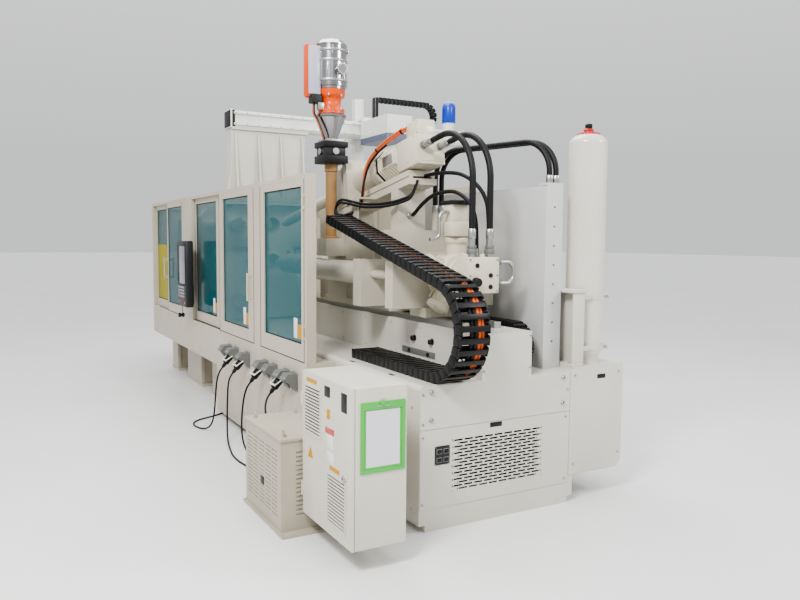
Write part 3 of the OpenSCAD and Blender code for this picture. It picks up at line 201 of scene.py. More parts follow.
@dataclass(frozen=True)
class Finish:
    """A surface that is made from procedural nodes on Object coordinates."""

    name: str
    color: tuple[float, float, float]
    rough: float = 0.45
    metallic: float = 0.0
    mottle: float = 0.05
    mottle_scale: float = 3.0
    grain: float = 0.08
    grain_scale: float = 900.0
    coat: float = 0.0
    alpha: float = 1.0
    grime: float = 0.0
    stretch: Point = (1.0, 1.0, 1.0)
    specular: float = 0.5

    def material(self) -> bpy.types.Material:
        """Builds the material once and returns it."""
        known = bpy.data.materials.get(self.name)
        if known:
            return known
        mat = bpy.data.materials.new(self.name)
        mat.use_nodes = True
        mat.diffuse_color = (*self.color, 1.0)
        graph = Graph(mat.node_tree)
        coords = graph.add("ShaderNodeTexCoord").outputs["Object"]
        mapped = graph.add("ShaderNodeMapping", {"Vector": coords, "Scale": self.stretch}).outputs["Vector"]
        base = self._mottled(graph, mapped)
        if self.grime > 0:
            base = self._grimed(graph, coords, base)
        rough = graph.add("ShaderNodeMapRange", {
            "Value": graph.noise(mapped, self.mottle_scale * 2.7, 4.0),
            "To Min": max(0.02, self.rough - 0.06), "To Max": min(1.0, self.rough + 0.08)})
        bump = graph.add("ShaderNodeBump", {
            "Strength": self.grain, "Distance": 0.002, "Height": graph.noise(mapped, self.grain_scale, 2.0)})
        graph.fill(mat.node_tree.nodes["Principled BSDF"], {
            "Metallic": self.metallic, "Coat Weight": self.coat, "Coat Roughness": 0.12, "Alpha": self.alpha,
            "Specular IOR Level": self.specular, "Base Color": base, "Roughness": rough.outputs["Result"],
            "Normal": bump.outputs["Normal"]})
        return mat

    def _mottled(self, graph: Graph, vector: Socket) -> Socket:
        """Varies the base colour a little.

        Args:
            graph: The material's tree.
            vector: The coordinates of the pattern.

        Returns:
            The colour output.
        """
        ramp = graph.add("ShaderNodeValToRGB", {"Fac": graph.noise(vector, self.mottle_scale, 5.0)})
        for stop, (position, change) in enumerate(((0.3, -self.mottle), (0.7, self.mottle))):
            element = ramp.color_ramp.elements[stop]
            element.position = position
            element.color = (*(min(1.0, max(0.0, c * (1 + change))) for c in self.color), 1.0)
        return ramp.outputs["Color"]

    def _grimed(self, graph: Graph, coords: Socket, base: Socket) -> Socket:
        """Darkens the colour towards the floor.

        Args:
            graph: The material's tree.
            coords: The place on the machine.
            base: The clean colour.

        Returns:
            The colour output.
        """
        height = graph.add("ShaderNodeSeparateXYZ", {"Vector": coords}).outputs["Z"]
        fade = graph.add("ShaderNodeMapRange", {"Value": height, "From Min": 0.0, "From Max": GRIME_TOP,
                                                "To Min": self.grime, "To Max": 0.0})
        share = graph.add("ShaderNodeMath", {0: fade.outputs["Result"], 1: graph.noise(coords, 2.2, 6.0)},
                          operation="MULTIPLY")
        mix = graph.add("ShaderNodeMix", {"Factor": share.outputs["Value"], "A": base, "B": GRIME},
                        data_type="RGBA")
        return mix.outputs["Result"]


PAINT = Finish("warm cream powder coat", (0.50, 0.45, 0.36), 0.42, grime=0.3, coat=0.1, mottle=0.035)
PALE = Finish("pale cream enamel", (0.60, 0.575, 0.51), 0.38, grime=0.28, coat=0.15, mottle=0.035)
CABINET = Finish("cabinet powder coat", (0.61, 0.58, 0.50), 0.45, grime=0.25, grain=0.15)
SHEET = Finish("pale sheet panel", (0.55, 0.55, 0.54), 0.42, grime=0.1, coat=0.1, mottle=0.04)
CASTING = Finish("enamelled casting", (0.54, 0.50, 0.41), 0.4, grain=0.35, grain_scale=260.0, coat=0.25)
MOTOR = Finish("cream motor enamel", (0.63, 0.58, 0.45), 0.35, grain=0.3, grain_scale=240.0, coat=0.35)
BOTTLE = Finish("glossy cream enamel", (0.66, 0.63, 0.55), 0.25, grain=0.03, coat=0.5)
WHITE = Finish("white robot coat", (0.70, 0.70, 0.67), 0.4, coat=0.15)
SLATE = Finish("blue-grey robot coat", (0.10, 0.12, 0.19), 0.4)
STEEL = Finish("ground steel", (0.46, 0.46, 0.45), 0.34, metallic=1.0, stretch=(0.05, 1, 1), grain=0.12)
VESSEL = Finish("polished vessel steel", (0.36, 0.36, 0.37), 0.16, metallic=1.0, stretch=(1, 1, 0.05),
                grain=0.05)
CHROME = Finish("hard chrome", (0.74, 0.74, 0.74), 0.12, metallic=1.0, grain=0.02)
DULL = Finish("coated band cover", (0.46, 0.43, 0.37), 0.45, metallic=0.3, mottle=0.15)
BLACK = Finish("black powder coat", (0.010, 0.010, 0.011), 0.45, specular=0.35)
RUBBER = Finish("black hose rubber", (0.006, 0.006, 0.007), 0.5, grain=0.25, grain_scale=500.0, specular=0.35)
JACKET = Finish("black cable jacket", (0.006, 0.006, 0.006), 0.42, specular=0.35)
LINK = Finish("black moulded links", (0.007, 0.007, 0.008), 0.4, grain=0.2, specular=0.35)
ORANGE_WIRE = Finish("orange cable jacket", (0.62, 0.12, 0.03), 0.4, specular=0.4)
ORANGE = Finish("orange moulding", (0.72, 0.085, 0.004), 0.3, coat=0.3)
AMBER = Finish("amber feed tube", (0.36, 0.21, 0.085), 0.3, alpha=0.93, mottle=0.12, mottle_scale=9.0)
GREY_CAST = Finish("grey die casting", (0.17, 0.175, 0.165), 0.45, metallic=0.2, grain=0.3)
WHITE_PART = Finish("white moulding", (0.72, 0.72, 0.70), 0.35)
RED = Finish("red moulding", (0.50, 0.012, 0.012), 0.25, coat=0.4)
BLUE = Finish("blue cap", (0.004, 0.05, 0.42), 0.3, coat=0.3)
GREEN = Finish("green plastic frame", (0.07, 0.42, 0.06), 0.3, coat=0.3)
PAPER = Finish("paper sheet", (0.66, 0.65, 0.69), 0.7, mottle=0.02)
KEY_GREY = Finish("grey keys", (0.30, 0.31, 0.33), 0.45)
LILAC = Finish("lilac cover", (0.46, 0.47, 0.56), 0.35, coat=0.2)
SCREEN = Finish("screen glass", (0.16, 0.15, 0.20), 0.12, coat=0.6, mottle=0.08)
HOUSING = Finish("dark panel housing", (0.018, 0.019, 0.020), 0.4, grain=0.25, specular=0.4)
GLAZING = Finish("teal glazing", (0.005, 0.115, 0.14), 0.06, alpha=0.6, grain=0.0, mottle=0.1, specular=0.12)
YELLOW_FILM = Finish("yellow film", (0.42, 0.38, 0.01), 0.4, alpha=0.8, specular=0.2)
BOX_PAINT = Finish("transformer paint", (0.43, 0.39, 0.31), 0.5, grime=0.25, grain=0.2)
YELLOW = Finish("plain yellow plate", (0.56, 0.26, 0.003), 0.45, specular=0.3)
# near black for real gaskets, seals and plugs, and also for painted shade in the leaves' seams and behind the
# end grille
GASKET_AND_SHADE_BLACK = Finish("black gasket", (0.010, 0.011, 0.011), 0.6, specular=0.3)
FLOOR = Finish("pale floor", (0.74, 0.74, 0.73), 0.42, mottle=0.03, mottle_scale=0.6)


# ------------ mesh tools


class Shape:
    """A mesh under construction that becomes one piece of the machine."""

    def __init__(self, name: str) -> None:
        """Starts an empty shape.

        Args:
            name: The name of the piece that it becomes.
        """
        self.name = name
        self.bm = bmesh.new()
        self.finishes: list[Finish] = []

    def _slot(self, finish: Finish) -> int:
        """Returns the material slot number of a finish, adding it if it is new."""
        if finish not in self.finishes:
            self.finishes.append(finish)
        return self.finishes.index(finish)

    def _take(self, part: bmesh.types.BMesh, finish: Finish, matrix: Matrix | None = None) -> "Shape":
        """Moves a finished part into this shape.

        Args:
            part: The part, which is freed.
            finish: The finish of all its faces.
            matrix: A move or turn of the part.

        Returns:
            This shape.
        """
        slot = self._slot(finish)
        bmesh.ops.remove_doubles(part, verts=part.verts, dist=1e-6)
        bmesh.ops.recalc_face_normals(part, faces=part.faces)
        if matrix is not None:
            part.transform(matrix)
        for face in part.faces:
            face.material_index = slot
            face.smooth = True
        mesh = bpy.data.meshes.new("part")
        part.to_mesh(mesh)
        part.free()
        self.bm.from_mesh(mesh)
        bpy.data.meshes.remove(mesh)
        return self

    def _skin(self, part: bmesh.types.BMesh, rings: Sequence[list[bmesh.types.BMVert]]) -> None:
        """Spans faces from ring to ring, where a ring may be one point, and closes both ends.

        Args:
            part: The part that takes the faces.
            rings: Corners of each ring in turn.
        """
        count = max(len(ring) for ring in rings)
        for low, high in zip(rings, rings[1:]):
            for k in range(count):
                n = (k + 1) % count
                corners = dict.fromkeys((low[k % len(low)], low[n % len(low)],
                                         high[n % len(high)], high[k % len(high)]))
                if len(corners) > 2:
                    part.faces.new(list(corners))
        for ring in (rings[0], rings[-1]):
            if len(ring) > 1:
                part.faces.new(ring)

    def box(self, lo: Spot, hi: Spot, finish: Finish, bevel: float = 0.003, matrix: Matrix | None = None
            ) -> "Shape":
        """Adds a box with rounded edges.

        Args:
            lo: The corner with the smallest coordinates.
            hi: The corner with the largest coordinates.
            finish: The finish of its faces.
            bevel: The width of the rounding, or 0.
            matrix: A move or turn of the box.

        Returns:
            This shape.
        """
        part = bmesh.new()
        size = [max(1e-5, b - a) for a, b in zip(lo, hi)]
        middle = [(a + b) / 2 for a, b in zip(lo, hi)]
        bmesh.ops.create_cube(part, size=1.0, matrix=Matrix.Translation(middle) @ Matrix.Diagonal((*size, 1)))
        width = min(bevel, 0.45 * min(size))
        if width > 0:
            bmesh.ops.bevel(part, geom=part.edges[:], offset=width, segments=2, profile=0.5, affect="EDGES")
        return self._take(part, finish, matrix)

    def lathe(self, profile: Sequence[Pair], at: Spot, axis: Spot, finish: Finish,
              steps: int = 32) -> "Shape":
        """Turns a profile about an axis.

        Args:
            profile: Pairs of radius and height.
            at: The point on the axis where the height is 0.
            axis: The direction of the axis.
            finish: The finish of its faces.
            steps: The number of facets.

        Returns:
            This shape.
        """
        part = bmesh.new()
        rings = []
        for radius, height in profile:
            ring = circle(radius, steps) if radius > 1e-6 else [(0, 0)]
            rings.append([part.verts.new((u, v, height)) for u, v in ring])
        self._skin(part, rings)
        turn = Vector((0, 0, 1)).rotation_difference(Vector(axis)).to_matrix().to_4x4()
        return self._take(part, finish, Matrix.Translation(at) @ turn)

    def nut(self, at: Spot, axis: Spot, face: float, radius: float, height: float) -> "Shape":
        """Adds a hexagon fitting whose corners are a little broken at both faces.

        Args:
            at: The middle of its first face.
            axis: The direction of its axis.
            face: The radius over the corners of its faces.
            radius: The radius over the corners between them.
            height: Its height.

        Returns:
            This shape.
        """
        edge = 0.003
        profile = turned((face, 0.0), (radius, edge), (radius, height - edge), (face, height))
        return self.lathe(profile, at, axis, GREY_CAST, 6)

    def rod(self, a: Spot, b: Spot, radius: float, finish: Finish, steps: int = 24, edge: float = 0.0015
            ) -> "Shape":
        """Adds a round bar with slightly broken edges.

        Args:
            a: The middle of one end.
            b: The middle of the other end.
            radius: The bar's radius.
            finish: The finish of its faces.
            steps: The number of facets.
            edge: The width of the broken edges.

        Returns:
            This shape.
        """
        axis = Vector(b) - Vector(a)
        edge = min(edge, radius * 0.4, axis.length * 0.4)
        profile = [(radius - edge, 0), (radius, edge), (radius, axis.length - edge),
                   (radius - edge, axis.length)]
        return self.lathe(profile, a, axis.normalized(), finish, steps)

    def prism(self, outline: Sequence[Pair], plane: str, start: float, end: float, finish: Finish,
              bevel: float = 0.002) -> "Shape":
        """Extrudes an outline.

        Args:
            outline: The corners in the plane.
            plane: YZ, XZ or XY.
            start: Where the prism begins on the third axis.
            end: Where it ends.
            finish: The finish of its faces.
            bevel: The width of the rounding, or 0.

        Returns:
            This shape.
        """
        part = bmesh.new()
        order = {"YZ": lambda u, v, w: (w, u, v), "XZ": lambda u, v, w: (u, w, v),
                 "XY": lambda u, v, w: (u, v, w)}[plane]
        self._skin(part, [[part.verts.new(order(u, v, w)) for u, v in outline] for w in (start, end)])
        bmesh.ops.recalc_face_normals(part, faces=part.faces)
        if bevel > 0:
            bmesh.ops.bevel(part, geom=part.edges[:], offset=bevel, segments=2, profile=0.5, affect="EDGES",
                            clamp_overlap=True)
        return self._take(part, finish)

    def pipe(self, path: Sequence[Spot], radius: float, finish: Finish, sides: int = 12) -> "Shape":
        """Adds a tube with closed ends.

        Args:
            path: Points of the tube's middle.
            radius: The tube's radius.
            finish: The finish of its faces.
            sides: The number of facets.

        Returns:
            This shape.
        """
        part = bmesh.new()
        points = [Vector(p) for p in path]
        normal = None
        rings = []
        for i, point in enumerate(points):
            ahead = points[min(i + 1, len(points) - 1)] - points[max(i - 1, 0)]
            ahead.normalize()
            if normal is None:
                helper = Vector((0, 0, 1)) if abs(ahead.z) < 0.9 else Vector((1, 0, 0))
                normal = ahead.cross(helper).normalized()
            normal = (normal - ahead * normal.dot(ahead)).normalized()
            other = ahead.cross(normal)
            rings.append([part.verts.new(point + normal * u + other * v) for u, v in circle(radius, sides)])
        self._skin(part, rings)
        return self._take(part, finish)

    def join(self, mesh: bpy.types.Mesh, finish: Finish) -> "Shape":
        """Adds a ready mesh.

        Args:
            mesh: The mesh.
            finish: The finish of its faces.

        Returns:
            This shape.
        """
        part = bmesh.new()
        part.from_mesh(mesh)
        return self._take(part, finish)

    def done(self, body: Body | None, slot: str, replaces: Iterable[str] = ()) -> bpy.types.Object:
        """Turns the shape into an object that rides on a body.

        Args:
            body: The body that the piece rides on, or None for a piece on no body.
            slot: Not used.
            replaces: Names of the CAD nodes that the piece stands for.

        Returns:
            The new object.
        """
        mesh = bpy.data.meshes.new(self.name)
        self.bm.to_mesh(mesh)
        self.bm.free()
        mesh.set_sharp_from_angle(angle=SHARP)
        for finish in self.finishes:
            mesh.materials.append(finish.material())
        piece = put(self.name, mesh)
        if body is not None:
            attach(piece, body.value)
        if replaces:
            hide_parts(*replaces)
        log.info("%s: %d faces", self.name, len(mesh.polygons))
        return piece

    def blended(self, slot: str, near: Body, far: Body, start: Spot, end: Spot, replaces: Iterable[str] = ()
                ) -> None:
        """Turns the shape into an object on no body, with its placement baked into its mesh.

        Args:
            slot: The material slot of the record that the piece takes its finish from.
            near: Not used.
            far: Not used.
            start: Not used.
            end: Not used.
            replaces: Names of the CAD nodes that the piece stands for.
        """
        piece = self.done(None, slot, replaces)
        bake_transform(piece)


def smooth_path(points: Sequence[Sequence[float]], step: float = 0.02) -> list[Vector]:
    """Runs a smooth curve through points.

    Args:
        points: The points that the curve passes.
        step: The distance between the curve's own points.

    Returns:
        Points close together on the curve.
    """
    pts = [Vector(p) for p in points]
    ends = [pts[0] * 2 - pts[1]] + pts + [pts[-1] * 2 - pts[-2]]
    path = []
    for i in range(1, len(ends) - 2):
        p0, p1, p2, p3 = ends[i - 1:i + 3]
        count = max(2, int((p2 - p1).length / step))
        for k in range(count):
            t = k / count
            path.append(0.5 * ((2 * p1) + (p2 - p0) * t + (2 * p0 - 5 * p1 + 4 * p2 - p3) * t * t
                               + (3 * p1 - p0 - 3 * p2 + p3) * t ** 3))
    path.append(pts[-1])
    return path


def arc(center: Spot, u: Spot, v: Spot, radius: float, a0: float, a1: float, count: int = 12) -> list[Vector]:
    """Runs an arc through a plane.

    Args:
        center: The arc's centre.
        u: The unit vector at 0 degrees.
        v: The unit vector at 90 degrees.
        radius: The arc's radius.
        a0: The angle where it starts, in degrees.
        a1: The angle where it ends.
        count: The number of its steps.

    Returns:
        Points on the arc.
    """
    c, u, v = Vector(center), Vector(u), Vector(v)
    angles = [math.radians(a0 + (a1 - a0) * k / count) for k in range(count + 1)]
    return [c + radius * (u * math.cos(a) + v * math.sin(a)) for a in angles]


# ------------ repeated things


class Repeater:
    """Places copies of one small mesh with Geometry Nodes and makes the result a plain mesh."""

    def __init__(self, name: str) -> None:
        """Builds the node tree, whose inputs are the points, the copied shape, its size and its finish.

        Args:
            name: The tree's name.
        """
        self.tree = bpy.data.node_groups.new(name, "GeometryNodeTree")
        face = self.tree.interface
        self.inputs = {label: face.new_socket(label, in_out="INPUT",
                                              socket_type=f"NodeSocket{kind}").identifier
                       for label, kind in (("Geometry", "Geometry"), ("Copied shape", "Object"),
                                           ("Size", "Float"), ("Finish", "Material"))}
        face.new_socket("Geometry", in_out="OUTPUT", socket_type="NodeSocketGeometry")
        graph = Graph(self.tree)
        start = graph.add("NodeGroupInput").outputs
        info = graph.add("GeometryNodeObjectInfo", {"Object": start["Copied shape"]})
        up, ahead = (graph.add("GeometryNodeInputNamedAttribute", {"Name": label}, data_type="FLOAT_VECTOR")
                     for label in ("up", "ahead"))
        stand = graph.add("FunctionNodeAlignRotationToVector", {"Vector": up.outputs["Attribute"]}, axis="Z")
        turn = graph.add("FunctionNodeAlignRotationToVector", {
            "Rotation": stand.outputs["Rotation"], "Vector": ahead.outputs["Attribute"]}, axis="X",
            pivot_axis="Z")
        copies = graph.add("GeometryNodeInstanceOnPoints", {
            "Points": start["Geometry"], "Instance": info.outputs["Geometry"],
            "Rotation": turn.outputs["Rotation"], "Scale": start["Size"]})
        real = graph.add("GeometryNodeRealizeInstances", {"Geometry": copies.outputs["Instances"]})
        paint = graph.add("GeometryNodeSetMaterial",
                          {"Geometry": real.outputs["Geometry"], "Material": start["Finish"]})
        graph.add("NodeGroupOutput", {"Geometry": paint.outputs["Geometry"]})

    def run(self, name: str, proto: Shape, places: Sequence[tuple], finish: Finish, size: float = 1.0
            ) -> bpy.types.Mesh:
        """Copies a small shape to every place.

        Args:
            name: The name of the resulting mesh.
            proto: The shape that is copied; it stands on Z = 0 and looks along X.
            places: Tuples of (position, up direction, forward direction).
            finish: The finish of all copies.
            size: A factor on the shape's size.

        Returns:
            A plain mesh with all copies in place.
        """
        source_mesh = bpy.data.meshes.new("proto")
        proto.bm.to_mesh(source_mesh)
        proto.bm.free()
        source = put("proto", source_mesh)
        points = bpy.data.meshes.new(name)
        points.from_pydata([tuple(p[0]) for p in places], [], [])
        for label, k in (("up", 1), ("ahead", 2)):
            layer = points.attributes.new(label, "FLOAT_VECTOR", "POINT")
            layer.data.foreach_set("vector", [c for p in places for c in p[k]])
        carrier = put(name, points)
        modifier = carrier.modifiers.new("Copies", "NODES")
        modifier.node_group = self.tree
        for label, value in (("Copied shape", source), ("Size", size), ("Finish", finish.material())):
            modifier[self.inputs[label]] = value
        graph = bpy.context.evaluated_depsgraph_get()
        result = bpy.data.meshes.new_from_object(carrier.evaluated_get(graph))
        carrier.modifiers.remove(modifier)
        bpy.data.objects.remove(carrier)
        bpy.data.objects.remove(source)
        return result


# ------------ stage and camera


@dataclass
class Studio:
    """Camera at the photograph's viewing angle, pale floor and soft light."""

    place: Point = (7.60, -2.61, 1.62)
    look: Point = (-0.869, 0.488, -0.079)
    up: Point = (-0.073, 0.032, 0.997)
    lens: float = 33.2
    reach: float = 90.0

    def build(self) -> None:
        """Makes the camera, the floor and the lights."""
        look = Vector(self.look).normalized()
        right = look.cross(Vector(self.up)).normalized()
        data = bpy.data.cameras.new("camera")
        data.lens, data.sensor_width, data.clip_end = self.lens, 36.0, 200.0
        camera = put("camera", data)
        turn = Matrix((right, right.cross(look), -look)).transposed().to_4x4()
        camera.matrix_world = Matrix.Translation(self.place) @ turn
        bpy.context.scene.camera = camera
        self._floor()
        self._sky()
        self._lights()

    def _floor(self) -> None:
        """Lays the floor."""
        mesh = bpy.data.meshes.new("floor")
        r = self.reach
        mesh.from_pydata([(u, v, 0) for u, v in rectangle(-r, -r, r, r)], [], [(0, 1, 2, 3)])
        mesh.materials.append(FLOOR.material())
        put("floor", mesh)

    def _sky(self) -> None:
        """Puts a pale sky that is brighter above round the machine, and sets the picture's contrast."""
        world = bpy.data.worlds.new("pale room")
        world.use_nodes = True
        graph = Graph(world.node_tree)
        way = graph.add("ShaderNodeTexCoord").outputs["Generated"]
        height = graph.add("ShaderNodeSeparateXYZ", {"Vector": way}).outputs["Z"]
        sky = graph.add("ShaderNodeMapRange",
                        {"Value": height, "From Min": 0.1, "To Min": 0.72, "To Max": 1.5})
        graph.fill(world.node_tree.nodes["Background"],
                   {"Color": (0.92, 0.93, 0.94, 1), "Strength": sky.outputs["Result"]})
        bpy.context.scene.world = world
        bpy.context.scene.view_settings.look = "AgX - Medium High Contrast"

    def _lights(self) -> None:
        """Hangs soft lights over the machine."""
        for name, place, aim, size, power in (
                ("key", (6.5, -4.2, 5.6), (2.2, 0, 0.8), 1.6, 420),
                ("far", (7.5, 4.0, 4.6), (3.0, 0, 1.4), 1.6, 150),
                ("top", (0.8, 0.2, 6.2), (0.8, 0, 0), 4.0, 200)):
            data = bpy.data.lights.new(name, "AREA")
            data.shape = "RECTANGLE"
            data.size, data.size_y, data.energy = size, size * 0.7, power
            direction = Vector(aim) - Vector(place)
            put(name, data).matrix_world = (Matrix.Translation(place)
                                            @ direction.to_track_quat("-Z", "Y").to_matrix().to_4x4())


# ------------ cords


@dataclass
class SupplyCords:
    """Four leads from plugs in the side sockets to glands on the machine and the transformer."""

    diameter: float = 0.014
    routes: dict[str, list[Point]] = field(default_factory=lambda: {
        "cord_a": [(1500, -896.2, 551.7), (1500, -912, 531), (1499, -928, 500), (1496, -942, 450),
                   (1490, -950, 380), (1482, -955, 290), (1474, -960, 200), (1462, -968, 120),
                   (1440, -985, 55), (1400, -1012, 20), (1330, -1045, 8), (1240, -1065, 7), (1150, -1060, 7),
                   (1070, -1025, 7), (1010, -960, 7), (965, -880, 7), (920, -800, 7), (860, -720, 9),
                   (790, -640, 18), (737, -572, 45), (737, -522, 85), (778, -501, 117), (806, -500, 120),
                   (839.6, -500, 120)],
        "cord_b": [(1800, -896.2, 551.7), (1800, -912, 531), (1800, -927, 500), (1801, -938, 440),
                   (1803, -944, 340), (1806, -948, 230), (1815, -952, 130), (1840, -958, 60),
                   (1890, -968, 20), (1970, -985, 8), (2100, -1010, 7), (2250, -1035, 7), (2400, -1040, 7),
                   (2550, -1025, 7), (2700, -1005, 7), (2840, -995, 7), (2970, -994, 9), (3040, -997, 18),
                   (3100, -1000, 42), (3155, -1000, 59.5), (3200.6, -1000, 60)],
        "cord_c": [(2250, -896.2, 551.7), (2250, -912, 531), (2248, -928, 500), (2243, -944, 440),
                   (2240, -956, 350), (2244, -964, 250), (2262, -966, 150), (2300, -958, 75),
                   (2360, -942, 28), (2450, -920, 8), (2560, -895, 7), (2680, -872, 7), (2800, -855, 8),
                   (2900, -838, 14), (2985, -820, 36), (3052, -795, 80), (3092, -755, 145), (3107, -700, 208),
                   (3110, -640, 239.5), (3110, -590.4, 240)],
        "cord_d": [(2700, -896.2, 551.7), (2700, -912, 531), (2706, -928, 503), (2724, -942, 462),
                   (2760, -950, 415), (2815, -948, 370), (2885, -934, 330), (2960, -908, 298),
                   (3035, -870, 274), (3100, -815, 256), (3145, -745, 246), (3166, -670, 241),
                   (3170, -590.4, 240)]})

    def build(self) -> None:
        """Makes each plug and its cord."""
        for index, (name, route) in enumerate(self.routes.items()):
            points = [Vector(p) / 1000 for p in route]
            plug = self._plug(name, points, index == 0)
            path = [Vector((p.x, p.y, max(p.z, self.diameter / 2))) for p in smooth_path(points, 0.012)]
            curve = bpy.data.curves.new(f"{name}_lead", "CURVE")
            curve.dimensions = "3D"
            curve.bevel_depth = self.diameter / 2
            curve.bevel_resolution = 4
            curve.use_fill_caps = True
            line = curve.splines.new("POLY")
            line.points.add(len(path) - 1)
            for spot, p in zip(line.points, path):
                spot.co = (*p, 1.0)
            curve.materials.append(JACKET.material())
            lead = put(f"{name}_lead", curve)
            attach(lead, Body.FRAME.value)
            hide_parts(name)

    def _plug(self, name: str, points: list[Vector], first: bool) -> bpy.types.Object:
        """Makes the plug at the start of a lead.

        Args:
            name: The cord's name.
            points: The cord's route.
            first: Whether this is the plug that stands for the CAD node of all plugs.

        Returns:
            The plug.
        """
        out = (points[1] - points[0]).normalized()
        seat = points[0] - out * 0.11
        side = out.orthogonal().normalized()
        shape = Shape(f"{name}_plug")
        profile = turned((0.027, 0.0), (0.029, 0.003), (0.029, 0.03), (0.0265, 0.034), (0.0265, 0.064),
                         (0.022, 0.07), (0.015, 0.074), (0.015, 0.096), (0.0105, 0.106), (0.009, 0.11))
        shape.lathe(profile, seat, out, JACKET, 28)
        for k in range(8):
            rib = seat + Matrix.Rotation(math.tau * k / 8, 3, out) @ side * 0.0265
            shape.rod(rib + out * 0.036, rib + out * 0.062, 0.002, JACKET, 8)
        return shape.done(Body.FRAME, "plug_black", ("cord_plugs",) if first else ())


# ------------ energy chains and hoses


@dataclass
class ChainRoute:
    """A chain that runs straight, turns over in a loop and runs straight again."""

    name: str
    origin: Point
    ahead: Point
    side: Point
    run: float
    radius: float
    turn: float
    back: float
    pitch: float
    width: float
    height: float

    def at(self, s: float) -> tuple[Vector, Vector, Vector]:
        """Follows the chain.

        Args:
            s: A length along the chain.

        Returns:
            The place, the forward direction and the inward direction there.
        """
        swing = self.radius * math.radians(self.turn)
        if s < self.run:
            x, z, a = s, 0.0, 0.0
        elif s < self.run + swing:
            a = (s - self.run) / self.radius
            x, z = self.run + self.radius * math.sin(a), self.radius * (1 - math.cos(a))
        else:
            a = math.radians(self.turn)
            rest = s - self.run - swing
            x = self.run + self.radius * math.sin(a) + rest * math.cos(a)
            z = self.radius * (1 - math.cos(a)) + rest * math.sin(a)
        ahead, up = Vector(self.ahead), Vector((0, 0, 1))
        return (Vector(self.origin) + ahead * x + up * z, ahead * math.cos(a) + up * math.sin(a),
                up * math.cos(a) - ahead * math.sin(a))

    def stations(self) -> list[float]:
        """Returns the middle of every link along the chain."""
        swing = self.radius * math.radians(self.turn)
        found = []
        for begin, length in ((0.0, self.run), (self.run, swing), (self.run + swing, self.back)):
            count = round(length / self.pitch)
            found += [begin + (i + 0.5) * length / count for i in range(count)]
        return found

    def line(self, across: float, above: float, step: float = 0.02) -> list[Vector]:
        """Runs a cable's path inside the chain.

        Args:
            across: The offset across the chain's width.
            above: The offset above its middle.
            step: The distance between the path's points.

        Returns:
            Points on the path.
        """
        total = self.run + self.radius * math.radians(self.turn) + self.back
        count = int(total / step)
        path = []
        for k in range(count + 1):
            place, _, up = self.at(min(total * k / count, total - 1e-6))
            path.append(place + Vector(self.side) * across + up * above)
        return path


@dataclass
class EnergyChains:
    """Cable chains to the injection carriage and along the robot's beam."""

    routes: list[ChainRoute] = field(default_factory=lambda: [
        ChainRoute("main_chain", (3.1, -0.458, 0.8613), (1, 0, 0), (0, 1, 0), 1.01, 0.27, 165.6, 1.56,
                   0.06, 0.2, 0.062),
        ChainRoute("far_chain", (3.5, 0.235, 0.8483), (1, 0, 0), (0, 1, 0), 0.42, 0.13, 180.0, 0.7997,
                   0.041, 0.09, 0.036),
        ChainRoute("robot_chain", (0.042, 1.4, 2.9643), (0, 1, 0), (-1, 0, 0), 0.56, 0.13, 180.0, 0.6247,
                   0.05, 0.08, 0.056)])

    def build(self, repeater: Repeater) -> None:
        """Makes the three chains with their cables.

        Args:
            repeater: The tree that copies the links.
        """
        ends = ((Body.CARRIAGE, 0.90, 1.40), (Body.CARRIAGE, 0.87, 1.09), (Body.ROBOT, 2.99, 3.19))
        wires = ([(0.024, JACKET, 0.010), (0.092, JACKET, 0.011), (0.118, JACKET, 0.012),
                  (0.142, ORANGE_WIRE, 0.0115), (0.165, ORANGE_WIRE, 0.009), (0.182, JACKET, 0.008)],
                 [(0.025, JACKET, 0.009), (0.05, JACKET, 0.010), (0.07, JACKET, 0.008)],
                 [(0.022, JACKET, 0.009), (0.045, JACKET, 0.010), (0.062, JACKET, 0.008)])
        for route, (body, low, high), inside in zip(self.routes, ends, wires):
            places = []
            for s in route.stations():
                place, ahead, up = route.at(s)
                places.append((place + Vector(route.side) * (route.width / 2), up, ahead))
            links = repeater.run(f"{route.name}_links", self._link(route), places, LINK)
            chain = Shape(route.name).join(links, LINK)
            bpy.data.meshes.remove(links)
            cables = Shape(f"{route.name}_cables")
            for across, finish, radius in inside:
                cables.pipe(route.line(across, -0.1 * route.height), radius, finish, 8)
            x, y, _ = route.origin
            joint = (Body.FRAME, body, (x, y, low), (x, y, high))
            chain.blended("chain_plastic", *joint, ("energy_chain",) if route.name == "main_chain" else ())
            cables.blended("cord_black", *joint)

    def _link(self, route: ChainRoute) -> Shape:
        """Makes one link: two shaped side plates joined by cross bars.

        Args:
            route: The chain that the link is for.

        Returns:
            The link, with its middle at the origin.
        """
        p, w, h = route.pitch, route.width, route.height
        link = Shape("link")
        t = w / 22
        outline = [(-p * 0.47, -h * 0.5), (p * 0.30, -h * 0.5), (p * 0.47, -h * 0.36), (p * 0.47, h * 0.36),
                   (p * 0.30, h * 0.5), (-p * 0.47, h * 0.5)]
        for side in (-1, 1):
            y = side * (w / 2 - t / 2)
            link.prism(outline, "XZ", y - t / 2, y + t / 2, LINK, 0.0012)
            y -= side * t * 0.9
            link.prism(rectangle(-p * 0.54, -h * 0.3, -p * 0.1, h * 0.3), "XZ",
                       y - t * 0.45, y + t * 0.45, LINK, 0.001)
        for z in (-h * 0.45, h * 0.45):
            link.prism(rectangle(-w / 2 + t, z - h * 0.05, w / 2 - t, z + h * 0.05), "YZ",
                       -p * 0.26, p * 0.26, LINK, 0.001)
        for y in (-w / 6, w / 6):
            link.prism(rectangle(y - 0.0015, -h * 0.42, y + 0.0015, h * 0.42), "YZ",
                       -p * 0.07, p * 0.07, LINK, 0.0)
        return link


